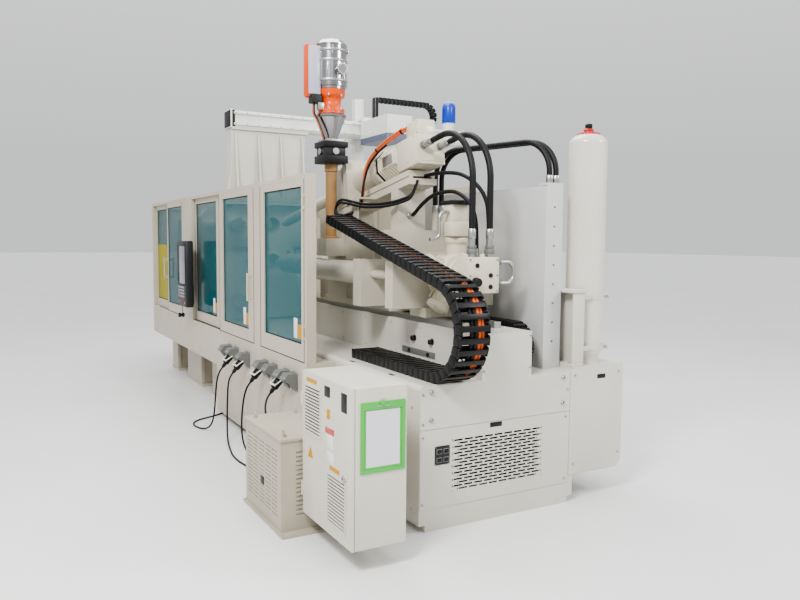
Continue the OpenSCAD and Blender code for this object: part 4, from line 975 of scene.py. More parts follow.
@dataclass
class Hoses:
    """Pressure hoses over the splash panel and between the second unit and the motor's manifold."""

    fit_x: float = 3.935
    fit_y: Pair = (-0.060, 0.070)
    fit_top: float = 1.64
    start: Pair = (3.4177, 2.2671)
    slope: float = 9.5

    def build(self) -> None:
        """Makes the supply hoses, the unit's hoses and the lower lines."""
        self._supply()
        self._unit()
        self._lines()

    def _lines(self) -> None:
        """Makes the lower lines round the main drive: two hoses to the manifold and one along the support."""
        low = [(3.1105, -0.02, 1.80), (3.17, -0.02, 1.808), (3.26, -0.012, 1.868), (3.377, 0.0, 1.924),
               (3.529, 0.004, 1.943), (3.674, 0.006, 1.93), (3.81, 0.006, 1.86), (3.875, 0.005, 1.76),
               (3.89, 0.005, 1.64), (3.89, 0.005, 1.531)]
        high = [(3.235, 0.03, 2.068), (3.394, 0.05, 2.077), (3.588, 0.08, 2.058), (3.74, 0.1, 1.985),
                (3.836, 0.11, 1.881), (3.866, 0.11, 1.745), (3.88, 0.1, 1.62), (3.885, 0.095, 1.531)]
        along = [(2.70, -0.352, 1.785), (2.62, -0.35, 1.797), (2.578, -0.345, 1.835), (2.588, -0.338, 1.88),
                 (2.635, -0.33, 1.9), (2.695, -0.32, 1.896), (2.88, -0.25, 1.862), (3.064, -0.18, 1.864),
                 (3.183, -0.12, 1.889), (3.236, -0.08, 1.922), (3.262, -0.05, 2.015)]
        nut = turned((0.019, 0.0), (0.021, 0.003), (0.021, 0.018), (0.0165, 0.022), (0.0165, 0.05))
        for name, path, ends, start in (
                ("drive_hose_low", low, ((low[0], ENDWARD), (low[-1], UP)), low[1]),
                ("drive_hose_high", high, ((high[-1], UP),), high[0])):
            shape = Shape(name)
            shape.pipe(smooth_path(path), 0.013, RUBBER, 12)
            for end, way in ends:
                shape.lathe(nut, end, way, STEEL, 24)
            shape.blended("hose_rubber", Body.CARRIAGE, Body.CROSSHEAD, start, path[-1])
        shape = Shape("support_hoses")
        for k in (0.0, 0.021):
            shape.pipe(smooth_path([Vector(p) + Vector((0, 0.3 * k, k)) for p in along]), 0.0095, RUBBER, 10)
        shape.done(Body.CARRIAGE, "hose_rubber")

    def _supply(self) -> None:
        """Makes the two hoses from the splash panel's post to the second unit's support."""
        shape = Shape("supply_hose_pair")
        a, b = Vector((4.0, 0.5, 0)), Vector((3.06, 0.25, 0))
        u, up = (b - a).normalized(), Vector(UP)
        ferrule = turned((0.0205, 0.0), (0.0225, 0.004), (0.0225, 0.045), (0.0195, 0.05))
        for k in (-0.026, 0.026):
            base = a + Vector((0, k, 1.99))
            end = base + b - a + up * 0.07
            path = [base, base + up * 0.035, *arc(base + up * 0.07 + u * 0.2, -u, up, 0.2, 0, 90),
                    *arc(end - u * 0.2, up, u, 0.2, 0, 90), end - up * 0.1, Vector((end.x, end.y, 1.8303))]
            shape.pipe(path, 0.018, RUBBER, 14)
            for foot in (path[0], path[-1]):
                shape.lathe(ferrule, foot, UP, STEEL, 24)
        shape.blended("hose_rubber", Body.FRAME, Body.CARRIAGE, a, b, ("supply_hoses",))

    def _unit(self) -> None:
        """Makes the two hoses from the second motor down to the manifold, each in two lengths."""
        (x0, z0), x1, r = self.start, self.fit_x, 0.3
        rise = math.radians(self.slope)
        ahead = Vector((math.cos(rise), 0, math.sin(rise)))
        across = Vector((-math.sin(rise), 0, math.cos(rise)))
        run = (x1 - x0 - r * (1 + math.sin(rise))) / math.cos(rise)
        upper, lower = Shape("unit_hose_upper"), Shape("unit_hose_lower")
        bend = Vector((x0, 0, z0)) + ahead * run - across * r
        crimp = turned((0.0225, 0.0), (0.0245, 0.004), (0.0245, 0.055), (0.0215, 0.06))
        for y in self.fit_y:
            begin = Vector((x0, y, z0))
            turn = arc(bend + Vector((0, y, 0)), across, ahead, r, 0, 90 + self.slope, 26)
            first = [begin, begin + ahead * run * 0.5, *turn[:14]]
            second = turn[13:] + [Vector((x1, y, 1.85)), Vector((x1, y, self.fit_top + 0.0003))]
            for shape, path, end, way in ((upper, first, first[0], ahead), (lower, second, second[-1], UP)):
                shape.pipe(path, 0.02, RUBBER, 14)
                shape.lathe(crimp, end, way, STEEL, 24)
        middle = (turn[13].x, 0, turn[13].z)
        upper.blended("hose_rubber", Body.SECOND, Body.CARRIAGE, (x0, 0, z0), middle, ("unit_hoses",))
        lower.blended("hose_rubber", Body.CARRIAGE, Body.CROSSHEAD, middle, (x1, 0, self.fit_top))


# ------------ small fixings


@dataclass
class Fixings:
    """Screw heads all over the machine, copied with Geometry Nodes, one mesh for each body."""

    repeater: Repeater
    places: dict[tuple[Body, float, Finish], list[tuple]] = field(default_factory=dict)

    def add(self, body: Body, spots: Iterable[Spot], out: Spot, radius: float = 0.006, finish: Finish = STEEL
            ) -> None:
        """Notes screw heads.

        Args:
            body: The body that they are screwed to.
            spots: Places on its surface.
            out: The direction that the surface faces.
            radius: The radius of the heads.
            finish: Their finish.
        """
        side = Vector(out).orthogonal().normalized()
        group = self.places.setdefault((body, radius, finish), [])
        group += [(Vector(spot), Vector(out), side) for spot in spots]

    def grid(self, body: Body, xs: Spot | float, ys: Spot | float, zs: Spot | float, out: Spot,
             radius: float = 0.006, finish: Finish = STEEL) -> None:
        """Notes screw heads wherever rows cross.

        Args:
            body: The body that they are screwed to.
            xs: The rows in X, or one number.
            ys: The rows in Y, or one number.
            zs: The rows in Z, or one number.
            out: The direction that the surface faces.
            radius: The radius of the heads.
            finish: Their finish.
        """
        rows = [(row,) if isinstance(row, (int, float)) else row for row in (xs, ys, zs)]
        self.add(body, itertools.product(*rows), out, radius, finish)

    def build(self) -> None:
        """Makes the noted screw heads."""
        for body in Body:
            groups = [(key, spots) for key, spots in self.places.items() if key[0] == body]
            if not groups:
                continue
            shape = Shape(f"{body.value}_screws")
            for (_, radius, finish), spots in groups:
                head = self._head(finish)
                mesh = self.repeater.run("screws", head, spots, finish, radius)
                shape.join(mesh, finish)
                bpy.data.meshes.remove(mesh)
            shape.done(body, "ground_steel")

    def _head(self, finish: Finish) -> Shape:
        """Makes a screw head of unit radius with a socket in it."""
        profile = [(1.0, 0.0), (1.0, 0.42), (0.86, 0.6), (0.52, 0.62), (0.46, 0.56), (0.44, 0.2), (0.0, 0.2)]
        return Shape("head").lathe(profile, (0, 0, 0), UP, finish, 12)


# ------------ guards


@dataclass
class Pane:
    """A window in a door leaf: its body, the leaf's outer face and the opening."""

    name: str
    body: Body
    face: float
    x0: float
    x1: float
    z0: float = 0.9
    z1: float = 1.98


@dataclass
class Guards:
    """Trim of the operator's side: gaskets, edge strips of painted seam shade, plates and panel screws."""

    outer_face: float = -0.770
    rear_face: float = 0.760
    panes: list[Pane] = field(default_factory=lambda: [
        Pane("fixed", Body.FRAME, -0.737, -1.92, -1.222), Pane("gate", Body.GATE, -0.770, -1.168, -0.472),
        Pane("inner", Body.INNER, -0.737, 0.012, 0.772), Pane("outer", Body.OUTER, -0.770, 1.1, 1.825),
        Pane("service", Body.SERVICE, -0.770, 2.21, 2.97, 0.92)])

    def build(self, fixings: Fixings) -> None:
        """Makes the trim of every leaf and of the skirt.

        Args:
            fixings: Takes the screw heads.
        """
        for pane in self.panes:
            self._gasket(pane)
        self._plates()
        self._seam_shade_strips()
        self._skirt(fixings)
        self._rear(fixings)

    def _gasket(self, pane: Pane) -> None:
        """Frames a window on both faces of the glass with a rubber lip.

        Args:
            pane: The window.
        """
        shape = Shape(f"{pane.name}_gasket")
        wide = 0.007
        for y0, y1 in ((pane.face + 0.0105, pane.face + 0.0117), (pane.face + 0.0183, pane.face + 0.0195)):
            for lo, hi in rim_bars((pane.x0, pane.z0), (pane.x1, pane.z1), wide, wide, wide):
                shape.box((lo[0], y0, lo[1]), (hi[0], y1, hi[1]), GASKET_AND_SHADE_BLACK, 0.0004)
        shape.done(pane.body, "hose_rubber")

    def _plates(self) -> None:
        """Puts plain coloured plates where the real doors carry signs, and a film on the fixed window."""
        for pane in self.panes[2:]:
            shape = Shape(f"{pane.name}_plates")
            z = pane.z0 + 0.03
            for x, finish, tall in ((pane.x1 - 0.095, YELLOW, 0.1), (pane.x1 - 0.17, WHITE_PART, 0.14)):
                shape.box((x, pane.face + 0.0108, z), (x + 0.068, pane.face + 0.0118, z + tall),
                          finish, 0.0003)
            shape.done(pane.body, "machine_paint")
        film = Shape("yellow_screen")
        film.box((-1.912, -0.7263, 0.908), (-1.229, -0.7256, 1.56), YELLOW_FILM, 0.0002)
        for x in (-1.9, -1.25):
            film.box((x, -0.704, 0.801), (x + 0.02, -0.6975, 1.5), STEEL, 0.001)
        film.done(Body.FRAME, "machine_paint")

    def _seam_shade_strips(self) -> None:
        """Lays thin black strips along the sides and the foot of every moving leaf, painted shade for the
        gaps between leaves.
        """
        for pane, node in zip(self.panes[1:], ("gate_frame", "inner_door_frame",
                                               "outer_door_frame", "service_door_frame")):
            lo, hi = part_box(node)
            y0, y1 = pane.face - 0.0009, pane.face + 0.0002
            shape = Shape(f"{pane.name}_seal")
            # painted shade: black strips at the leaf's edges stand for the shaded gap to the next leaf
            for x in (lo[0] + 0.0005, hi[0] - 0.0075):
                shape.box((x, y0, lo[2] + 0.001), (x + 0.007, y1, hi[2] - 0.001), GASKET_AND_SHADE_BLACK, 0.0003)
            shape.box((lo[0] + 0.007, y0, lo[2] + 0.001), (hi[0] - 0.007, y1, lo[2] + 0.007), GASKET_AND_SHADE_BLACK, 0.0003)
            shape.done(pane.body, "hose_rubber")

    def _skirt(self, fixings: Fixings) -> None:
        """Adds the screws of the skirt panels, the top rail and two leaves.

        Args:
            fixings: Takes the screw heads.
        """
        y = self.outer_face
        for body, xs, zs, radius in (
                (Body.FRAME, (-2.0, -1.5, -1.05, -0.95, -0.45, 0.1, 0.6,
                              1.09, 1.19, 1.6, 2.01, 2.11, 2.6, 3.02), (0.5, 0.77), 0.007),
                (Body.FRAME, (0.91, 1.4, 2.0, 2.6, 3.02), (0.09, 0.28), 0.007),
                (Body.FRAME, [-1.98, -1.4, -0.8, -0.2, 0.4, 1.0, 1.6, 2.2, 2.8], 2.045, 0.006),
                (Body.SERVICE, (2.15, 2.99), (0.86, 1.2, 1.6, 2.0), 0.005),
                (Body.OUTER, (1.02, 1.94), (0.86, 1.45, 2.0), 0.005)):
            fixings.grid(body, xs, y, zs, NEAR, radius, PAINT)

    def _rear(self, fixings: Fixings) -> None:
        """Adds the screws, handles and louvres of the far side's panels.

        Args:
            fixings: Takes the screw heads.
        """
        y = self.rear_face
        posts = (-2.05, -1.23, -0.43, 0.39, 1.19, 2.0, 2.74)
        shape = Shape("rear_trim")
        for a, b in zip(posts, posts[1:]):
            middle = (a + b) / 2 + 0.03
            fixings.grid(Body.FRAME, (a + 0.1, middle, b - 0.04), y, (0.45, 0.71, 0.84, 1.4, 1.96), FAR)
            shape.pipe(arc((middle - 0.06, y, 1.45), (-1, 0, 0), FAR, 0.009, 0, 90, 6)
                       + arc((middle + 0.06, y, 1.45), FAR, ENDWARD, 0.009, 0, 90, 6), 0.004, BLACK, 10)
            for k in range(10):
                z = 1.66 + k * 0.02
                shape.box((middle - 0.14, y - 0.001, z), (middle + 0.14, y + 0.001, z + 0.009),
                          GASKET_AND_SHADE_BLACK, 0.0005)
        shape.done(Body.FRAME, "machine_paint")


@dataclass
class OperatorPanel:
    """Swivelling panel with a screen, keys and a grip below it."""

    x0: float = -0.120
    x1: float = 0.240
    y0: float = -0.900
    y1: float = -0.820
    z0: float = 0.950
    z1: float = 1.610
    hinge: tuple[float, float] = (-0.060, -0.797)

    def build(self, fixings: Fixings) -> None:
        """Makes the housing, the screen, the keys and the grip.

        Args:
            fixings: Takes the screw heads.
        """
        x0, x1, y0, y1, z0, z1 = self.x0, self.x1, self.y0, self.y1, self.z0, self.z1
        shape = Shape("operator_panel")
        shape.box((x0, y0 + 0.004, z0), (x1, y1, z1), HOUSING, 0.014)
        shape.box((x0 + 0.02, y1 - 0.001, z0 + 0.03), (x1 - 0.02, y1 + 0.006, 1.17), HOUSING, 0.004)
        for lo, hi in rim_bars((x0 + 0.018, 1.165), (x1 - 0.018, 1.575), 0.018, 0.018, 0.018, 0.008):
            shape.box((lo[0], y0, lo[1]), (hi[0], y0 + 0.008, hi[1]), BLACK, 0.003)
        shape.box((x0 + 0.034, y0 + 0.002, 1.181), (x1 - 0.034, y0 + 0.0055, 1.559), SCREEN, 0.001)
        lit = {(3, 1): RED, (3, 2): ORANGE, (2, 1): ORANGE}
        for row, column in itertools.product(range(4), range(7)):
            x, z = x0 + 0.04 + column * 0.036, 1.135 - row * 0.03
            shape.box((x, y0, z), (x + 0.026, y0 + 0.006, z + 0.019), lit.get((row, column), KEY_GREY), 0.002)
        shape.lathe(turned((0.016, 0.0), (0.018, 0.006), (0.018, 0.012)),
                    (x1 - 0.06, y0 + 0.013, 0.995), NEAR, RED, 24)
        shape.lathe(turned((0.012, 0.0), (0.012, 0.01)), (x0 + 0.06, y0 + 0.012, 0.995), NEAR, STEEL, 20)
        hx, hy = self.hinge
        shape.box((hx - 0.015, y1 - 0.002, 1.2103), (hx + 0.015, hy + 0.014, 1.3897), BLACK, 0.003)
        shape.rod((hx, hy, 1.175), (hx, hy, 1.425), 0.006, STEEL)
        gx = x0 + 0.03
        shape.rod((gx, -0.86, 0.87), (gx, -0.86, 0.951), 0.007, STEEL)
        grip = turned((0.018, 0.0), (0.023, 0.006), (0.023, 0.022), (0.014, 0.028), (0.014, 0.034),
                      (0.023, 0.04),
                      (0.023, 0.054), (0.018, 0.06))
        shape.lathe(grip, (gx, -0.90, 0.85), FAR, BLACK, 28)
        shape.done(Body.PANEL, "panel_black", ("control_panel",))
        fixings.grid(Body.PANEL, (x0 + 0.012, x1 - 0.012), y0 + 0.004, (z0 + 0.015, z1 - 0.015),
                     NEAR, 0.004, BLACK)


# ------------ cabinets, sockets and holder


@dataclass
class SideSockets:
    """Grey sockets on the skirt, with sprung lids, or white levers where a plug is in."""

    xs: tuple[float, ...] = (1.3, 1.5, 1.8, 2.25, 2.45, 2.7, 2.85)
    used: tuple[float, ...] = (1.5, 1.8, 2.25, 2.7)
    y: float = -0.77
    z: float = 0.65

    def build(self, fixings: Fixings) -> None:
        """Makes the trim of every socket.

        Args:
            fixings: Takes the screw heads.
        """
        shape = Shape("socket_trim")
        slope = Vector((0, -0.8, -0.6))
        y, z = self.y, self.z
        for x in self.xs:
            shape.box((x - 0.056, y - 0.006, z - 0.066), (x + 0.056, y, z + 0.066), GREY_CAST, 0.003)
            mouth = Vector((x, y - 0.06, z - 0.01))
            if x in self.used:
                for s in (-1, 1):
                    base = mouth + Vector((s * 0.052, 0.004, 0.01))
                    shape.rod(base, base + Vector((0, -0.055, -0.035)), 0.005, WHITE_PART, 10)
                low = mouth + Vector((0, -0.05, -0.026))
                reach = Vector((0.052, 0, 0))
                shape.rod(low - reach, low + reach, 0.007, WHITE_PART, 12)
            else:
                shape.lathe([(0.0, 0.0), (0.034, 0.0), (0.036, 0.004), (0.034, 0.012), (0.0, 0.014)],
                            mouth + slope * 0.001, slope, GREY_CAST, 28)
            shape.rod((x - 0.04, y - 0.088, z + 0.032), (x + 0.04, y - 0.088, z + 0.032), 0.005, STEEL, 12)
            fixings.grid(Body.FRAME, (x - 0.048, x + 0.048), y - 0.006, (z - 0.058, z + 0.058), NEAR, 0.0045)
        shape.done(Body.FRAME, "socket_grey")


@dataclass
class SideCabinets:
    """Trim of the small cabinet, its door and holder, and of the transformer box."""

    cab: tuple[float, float, float, float] = (3.865, 4.490, -1.120, -0.820)
    cab_z: tuple[float, float] = (0.125, 0.920)
    box: tuple[float, float, float, float] = (3.225, 3.845, -1.240, -0.880)
    box_top: float = 0.525

    def build(self, fixings: Fixings) -> None:
        """Makes plates, gasket, holder and screws.

        Args:
            fixings: Takes the screw heads.
        """
        self._door(fixings)
        self._holder()
        self._transformer(fixings)

    def _door(self, fixings: Fixings) -> None:
        """Adds plain plates and a latch to the door, and a gasket to the body.

        Args:
            fixings: Takes the screw heads.
        """
        x0, x1, y0, _ = self.cab
        z0, z1 = self.cab_z
        door = Shape("cabinet_door_trim")
        y = y0 - 0.0012
        for a, b, c, d, finish in (
                (x0 + 0.06, x0 + 0.20, z1 - 0.052, z1 - 0.03, YELLOW),
                (x0 + 0.30, x0 + 0.37, z1 - 0.09, z1 - 0.035, BLACK),
                (x1 - 0.12, x1 - 0.055, z1 - 0.13, z1 - 0.035, BLACK),
                (x0 + 0.33, x0 + 0.37, z1 - 0.20, z1 - 0.15, YELLOW),
                (x0 + 0.31, x0 + 0.42, z1 - 0.275, z1 - 0.245, RED),
                (x0 + 0.32, x0 + 0.41, z1 - 0.35, z1 - 0.28, WHITE_PART),
                (x1 - 0.26, x1 - 0.14, z0 + 0.34, z0 + 0.362, YELLOW),
                (x0 + 0.335, x0 + 0.415, z1 - 0.425, z1 - 0.362, WHITE_PART)):
            door.box((a, y, c), (b, y0, d), finish, 0.0004)
        door.prism([(x0 + 0.08, z1 - 0.46), (x0 + 0.15, z1 - 0.46), (x0 + 0.115, z1 - 0.395)],
                   "XZ", y, y0, YELLOW, 0.0003)
        door.lathe(turned((0.016, 0.0), (0.016, 0.004), (0.006, 0.005), (0.006, 0.0)),
                   (x1 - 0.07, y0 - 0.012, 0.47), NEAR, STEEL, 24)
        door.done(Body.CABINET_DOOR, "cabinet_paint")
        rim = Shape("cabinet_gasket")
        rim.box((x0 + 0.004, y0 + 0.0153, z0 + 0.004), (x1 - 0.004, y0 + 0.0178, z1 - 0.004), GASKET_AND_SHADE_BLACK, 0.0)
        rim.done(Body.FRAME, "hose_rubber")

    def _holder(self) -> None:
        """Makes the green sheet holder with its paper and magnet."""
        x = self.cab[1]
        shape = Shape("sheet_holder")
        y0, y1, z0, z1 = -1.075, -0.830, 0.50, 0.85
        for lo, hi in rim_bars((y0, z0), (y1, z1), 0.018, 0.018, 0.038, 0.001):
            shape.box((x + 0.0002, *lo), (x + 0.006, *hi), GREEN, 0.001)
        shape.box((x + 0.0002, y0 + 0.01, z0 + 0.01), (x + 0.002, y1 - 0.01, z1 - 0.02), GREEN, 0.0)
        shape.box((x + 0.002, y0 + 0.03, z0 + 0.03), (x + 0.003, y1 - 0.03, z1 - 0.042), PAPER, 0.0)
        shape.lathe([(0.0, 0.0), (0.015, 0.0), (0.017, 0.003), (0.017, 0.008), (0.013, 0.011), (0.0, 0.012)],
                    (x + 0.004, -0.955, 0.842), ENDWARD, GREEN, 28)
        shape.box((x + 0.0055, -0.99, 0.826), (x + 0.008, -0.92, 0.834), STEEL, 0.001)
        shape.done(Body.FRAME, "holder_green", ("document_holder",))

    def _transformer(self, fixings: Fixings) -> None:
        """Adds a plain plate and screws to the transformer box.

        Args:
            fixings: Takes the screw heads.
        """
        x0, x1, y0, y1 = self.box
        shape = Shape("transformer_trim")
        shape.box((x0 + 0.28, y0 - 0.0012, 0.2), (x0 + 0.34, y0, 0.25), BLACK, 0.0004)
        shape.done(Body.FRAME, "cabinet_paint")
        fixings.grid(Body.FRAME, (x0, x1 + 0.04), y0 - 0.008, 0.0152, UP)
        fixings.grid(Body.FRAME, (x0 + 0.02, x1 - 0.02), (y0 + 0.02, (y0 + y1) / 2, y1 - 0.02),
                     self.box_top + 0.012, UP, 0.005)


# ------------ injection end


@dataclass
class InjectionEnd:
    """Trim of the injection base: end plate bolts, connector panel, side knobs and the bottle."""

    end_x: float = 4.184
    bottle: tuple[float, float] = (4.0, 0.79)
    bottle_r: float = 0.1225
    bottle_z: tuple[float, float] = (0.847, 2.33)

    def build(self, fixings: Fixings) -> None:
        """Makes the trim and the bottle.

        Args:
            fixings: Takes the screw heads.
        """
        x = self.end_x
        for radius, spots in (
                (0.014, ((-0.486, 0.79), (-0.486, 0.635), (0.464, 0.795), (0.464, 0.64))),
                (0.0075, ((-0.54, 0.78), (-0.54, 0.615), (0.5, 0.72), (-0.135, 1.07), (0.2, 1.07),
                          (-0.135, 0.88),
                          (0.2, 0.88), (-0.54, 0.54), (0.49, 0.55), (-0.54, 0.16), (0.49, 0.16), (0.56, 0.8),
                          (0.56, 0.24), (0.93, 0.8), (0.94, 0.27)))):
            fixings.add(Body.FRAME, [(x, *spot) for spot in spots], ENDWARD, radius)
        fixings.grid(Body.FRAME, x, (-0.345, 0.302), (0.21, 0.36, 0.51), ENDWARD, 0.004)
        self._grille()
        self._connector_panel(fixings)
        self._side_trim(fixings)
        self._bottle()
        self._column(fixings)

    def _grille(self) -> None:
        """Makes the slotted grille as bars and webs, with a finned black backing behind it as painted shade.
        """
        lo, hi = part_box("grille")
        x0, x1 = lo[0], hi[0]
        (x0, y0, z0), (x1, y1, z1) = lo, hi
        rows, columns, tall, web = 16, 9, 0.0105, 0.012
        pitch = (z1 - z0) / (rows + 1)
        wide = (y1 - y0 - 0.03) / columns
        shape = Shape("slotted_grille")
        for row in range(rows + 1):
            foot = z0 if row == 0 else z0 + pitch * row + tall / 2
            head = z1 if row == rows else z0 + pitch * (row + 1) - tall / 2
            shape.box((x0, y0, foot), (x1, y1, head), PALE, 0.0)
        for row in range(1, rows + 1):
            z, odd = z0 + pitch * row, row % 2
            cuts = [y0 + 0.015 + wide * (k + odd / 2) for k in range(columns + 1 - odd)]
            for a, b in [(y0, cuts[0])] + [(c - web / 2, c + web / 2) for c in cuts] + [(cuts[-1], y1)]:
                shape.box((x0, a, z - tall / 2), (x1, b, z + tall / 2), PALE, 0.0)
        shape.done(Body.FRAME, "base_paint", ("grille",))
        # painted shade: the black backing and its fins make the grille's slots read dark
        shade_backing = Shape("cooler_core")
        shade_backing.box((x0 - 0.03, y0 + 0.03, z0 + 0.015), (x0 - 0.02, y1 - 0.03, z1 - 0.015), GASKET_AND_SHADE_BLACK, 0.0)
        fins = 40
        for k in range(fins):
            y = y0 + 0.035 + k * (y1 - y0 - 0.075) / (fins - 1)
            shade_backing.box((x0 - 0.0205, y, z0 + 0.015), (x0 - 0.014, y + 0.002, z1 - 0.015), GASKET_AND_SHADE_BLACK, 0.0)
        shade_backing.done(Body.FRAME, "panel_black")

    def _connector_panel(self, fixings: Fixings) -> None:
        """Makes the black panel with four connectors beside the grille's slots and two plain plates.

        Args:
            fixings: Takes the screw heads.
        """
        x = self.end_x
        shape = Shape("connector_panel")
        shape.box((x, -0.462, 0.375), (x + 0.004, -0.364, 0.482), HOUSING, 0.0015)
        for y in (-0.436, -0.39):
            for z in (0.404, 0.452):
                shape.box((x + 0.003, y - 0.018, z - 0.015), (x + 0.009, y + 0.018, z + 0.015),
                          GREY_CAST, 0.002)
                shape.box((x + 0.008, y - 0.014, z - 0.011), (x + 0.0115, y + 0.014, z + 0.011), BLACK, 0.002)
        shape.box((x, -0.085, 0.548), (x + 0.0012, 0.0, 0.576), BLACK, 0.0004)
        shape.box((x, 0.745, 0.765), (x + 0.0012, 0.815, 0.792), BLACK, 0.0004)
        shape.done(Body.FRAME, "panel_black")
        fixings.grid(Body.FRAME, x + 0.004, (-0.457, -0.369), (0.38, 0.477), ENDWARD, 0.003)

    def _side_trim(self, fixings: Fixings) -> None:
        """Makes the knobs and the strip on the raised block and the plates on the ledge.

        Args:
            fixings: Takes the screw heads.
        """
        shape = Shape("block_trim")
        y = -0.150
        knob = turned((0.0215, 0.0), (0.0215, 0.012), (0.016, 0.016), (0.013, 0.03), (0.017, 0.036),
                      (0.017, 0.05), (0.013, 0.054))
        for x in (3.42, 3.64):
            shape.lathe(knob, (x, y + 0.028, 0.985), NEAR, BLACK, 28)
        shape.box((3.26, y - 0.004, 0.878), (3.68, y, 0.918), GREY_CAST, 0.001)
        for x in (3.36, 3.60):
            shape.lathe([(0.0, 0.0), (0.012, 0.0), (0.012, 0.008), (0.0, 0.01)],
                        (x, y - 0.004, 0.898), NEAR, BLACK, 20)
        for k in range(4):
            x = 2.95 + k * 0.27
            shape.box((x, -0.535, 0.83), (x + 0.06, -0.515, 0.8312), BLACK if k % 2 else WHITE_PART, 0.0004)
        shape.done(Body.FRAME, "base_paint")
        fixings.grid(Body.FRAME, (1.5, 1.9, 2.3, 2.7, 3.1, 3.5, 3.9, 4.13), y, (0.86, 1.06), NEAR)
        fixings.grid(Body.FRAME, (3.2, 3.5, 4.1), -0.56, (0.12, 0.7), NEAR, 0.008)
        fixings.grid(Body.FRAME, [1.54 + 0.12 * k for k in range(21)], (-0.11, 0.11), 1.1308,
                     UP, 0.007, BLACK)

    def _column(self, fixings: Fixings) -> None:
        """Makes the welded column that holds the bottle, with its two band clamps.

        Args:
            fixings: Takes the screw heads.
        """
        x, y = self.bottle
        r = self.bottle_r + 0.0008
        shape = Shape("bottle_column")
        y0, y1, z0, z1 = 0.56, 0.664, 0.8474, 1.329
        for a, b, ya, yb, za, zb, bevel in (
                (-0.142, -0.130, y0 + 0.012, y1, z0, z1 - 0.02, 0.002),
                (0.130, 0.142, y0 + 0.012, y1, z0, z1 - 0.02, 0.002),
                (-0.131, 0.131, y1 - 0.038, y1 - 0.028, z0, z1 - 0.02, 0.001),
                (-0.149, 0.149, y0, y1 + 0.001, z1 - 0.021, z1, 0.003),
                (-0.147, 0.147, y0 + 0.006, y1, z0, z0 + 0.013, 0.002)):
            shape.box((x + a, ya, za), (x + b, yb, zb), PALE, bevel)
        band = [(r, 0.0), (r + 0.005, 0.0), (r + 0.006, 0.001),
                (r + 0.006, 0.033), (r + 0.005, 0.034), (r, 0.034)]
        for z in (0.935, 1.262):
            shape.lathe(band, (x, y, z), UP, PALE, 56)
            shape.box((x + 0.1, y1 - 0.03, z + 0.002), (x + 0.1295, y - 0.06, z + 0.032), PALE, 0.002)
            for turn in (52, 232):
                spin = Matrix.Translation((x, y, z + 0.017)) @ Matrix.Rotation(math.radians(turn), 4, "Z")
                for side in (-1, 1):
                    shape.box((r - 0.002, side * 0.011 - 0.004, -0.016),
                              (r + 0.034, side * 0.011 + 0.004, 0.016), PALE,
                              0.002, spin)
                a, b = spin @ Vector((r + 0.02, -0.03, 0)), spin @ Vector((r + 0.02, 0.03, 0))
                shape.rod(a, b, 0.005, STEEL, 12)
                for end, other in ((a, b), (b, a)):
                    way = (other - end).normalized()
                    shape.rod(end + way * 0.004, end + way * 0.014, 0.010, STEEL, 6)
        shape.done(Body.FRAME, "base_paint", ("accumulator_bracket",))
        fixings.grid(Body.FRAME, (x - 0.09, x, x + 0.09), 0.592, z0 + 0.013, UP, 0.009)

    def _bottle(self) -> None:
        """Makes the accumulator bottle with its cap, valve and ring."""
        x, y = self.bottle
        r = self.bottle_r
        z0, z1 = self.bottle_z
        shape = Shape("accumulator_bottle")
        knuckle, crown = 0.05, 0.15
        rise = math.sqrt((crown - knuckle) ** 2 - (r - knuckle) ** 2)
        shoulder = z1 - crown + rise
        profile = [(0.0, z0), (r - 0.02, z0), (r - 0.02, z0 + 0.04), (r - 0.006, z0 + 0.06), (r, z0 + 0.075),
                   (r, shoulder)]
        edge = math.degrees(math.atan2(rise, r - knuckle))
        for k in range(1, 7):
            a = math.radians(edge * k / 6)
            profile.append((r - knuckle + knuckle * math.cos(a), shoulder + knuckle * math.sin(a)))
        for k in range(1, 9):
            a = math.radians(edge + (90 - edge) * k / 8)
            profile.append((crown * math.cos(a), shoulder - rise + crown * math.sin(a)))
        shape.lathe(profile, (x, y, 0), (0, 0, 1), BOTTLE, 64)
        for profile, finish, steps in (
                ([(0.066, -0.02), (0.076, -0.024), (0.078, -0.019), (0.074, -0.011), (0.066, -0.010)],
                 RED, 48),
                (turned((0.032, -0.006), (0.032, 0.014), (0.028, 0.018)), RED, 32),
                (turned((0.021, 0.017), (0.023, 0.02), (0.023, 0.044), (0.018, 0.05)), BLACK, 32)):
            shape.lathe(profile, (x, y, z1), UP, finish, steps)
        shape.done(Body.FRAME, "bottle_paint", ("accumulator",))


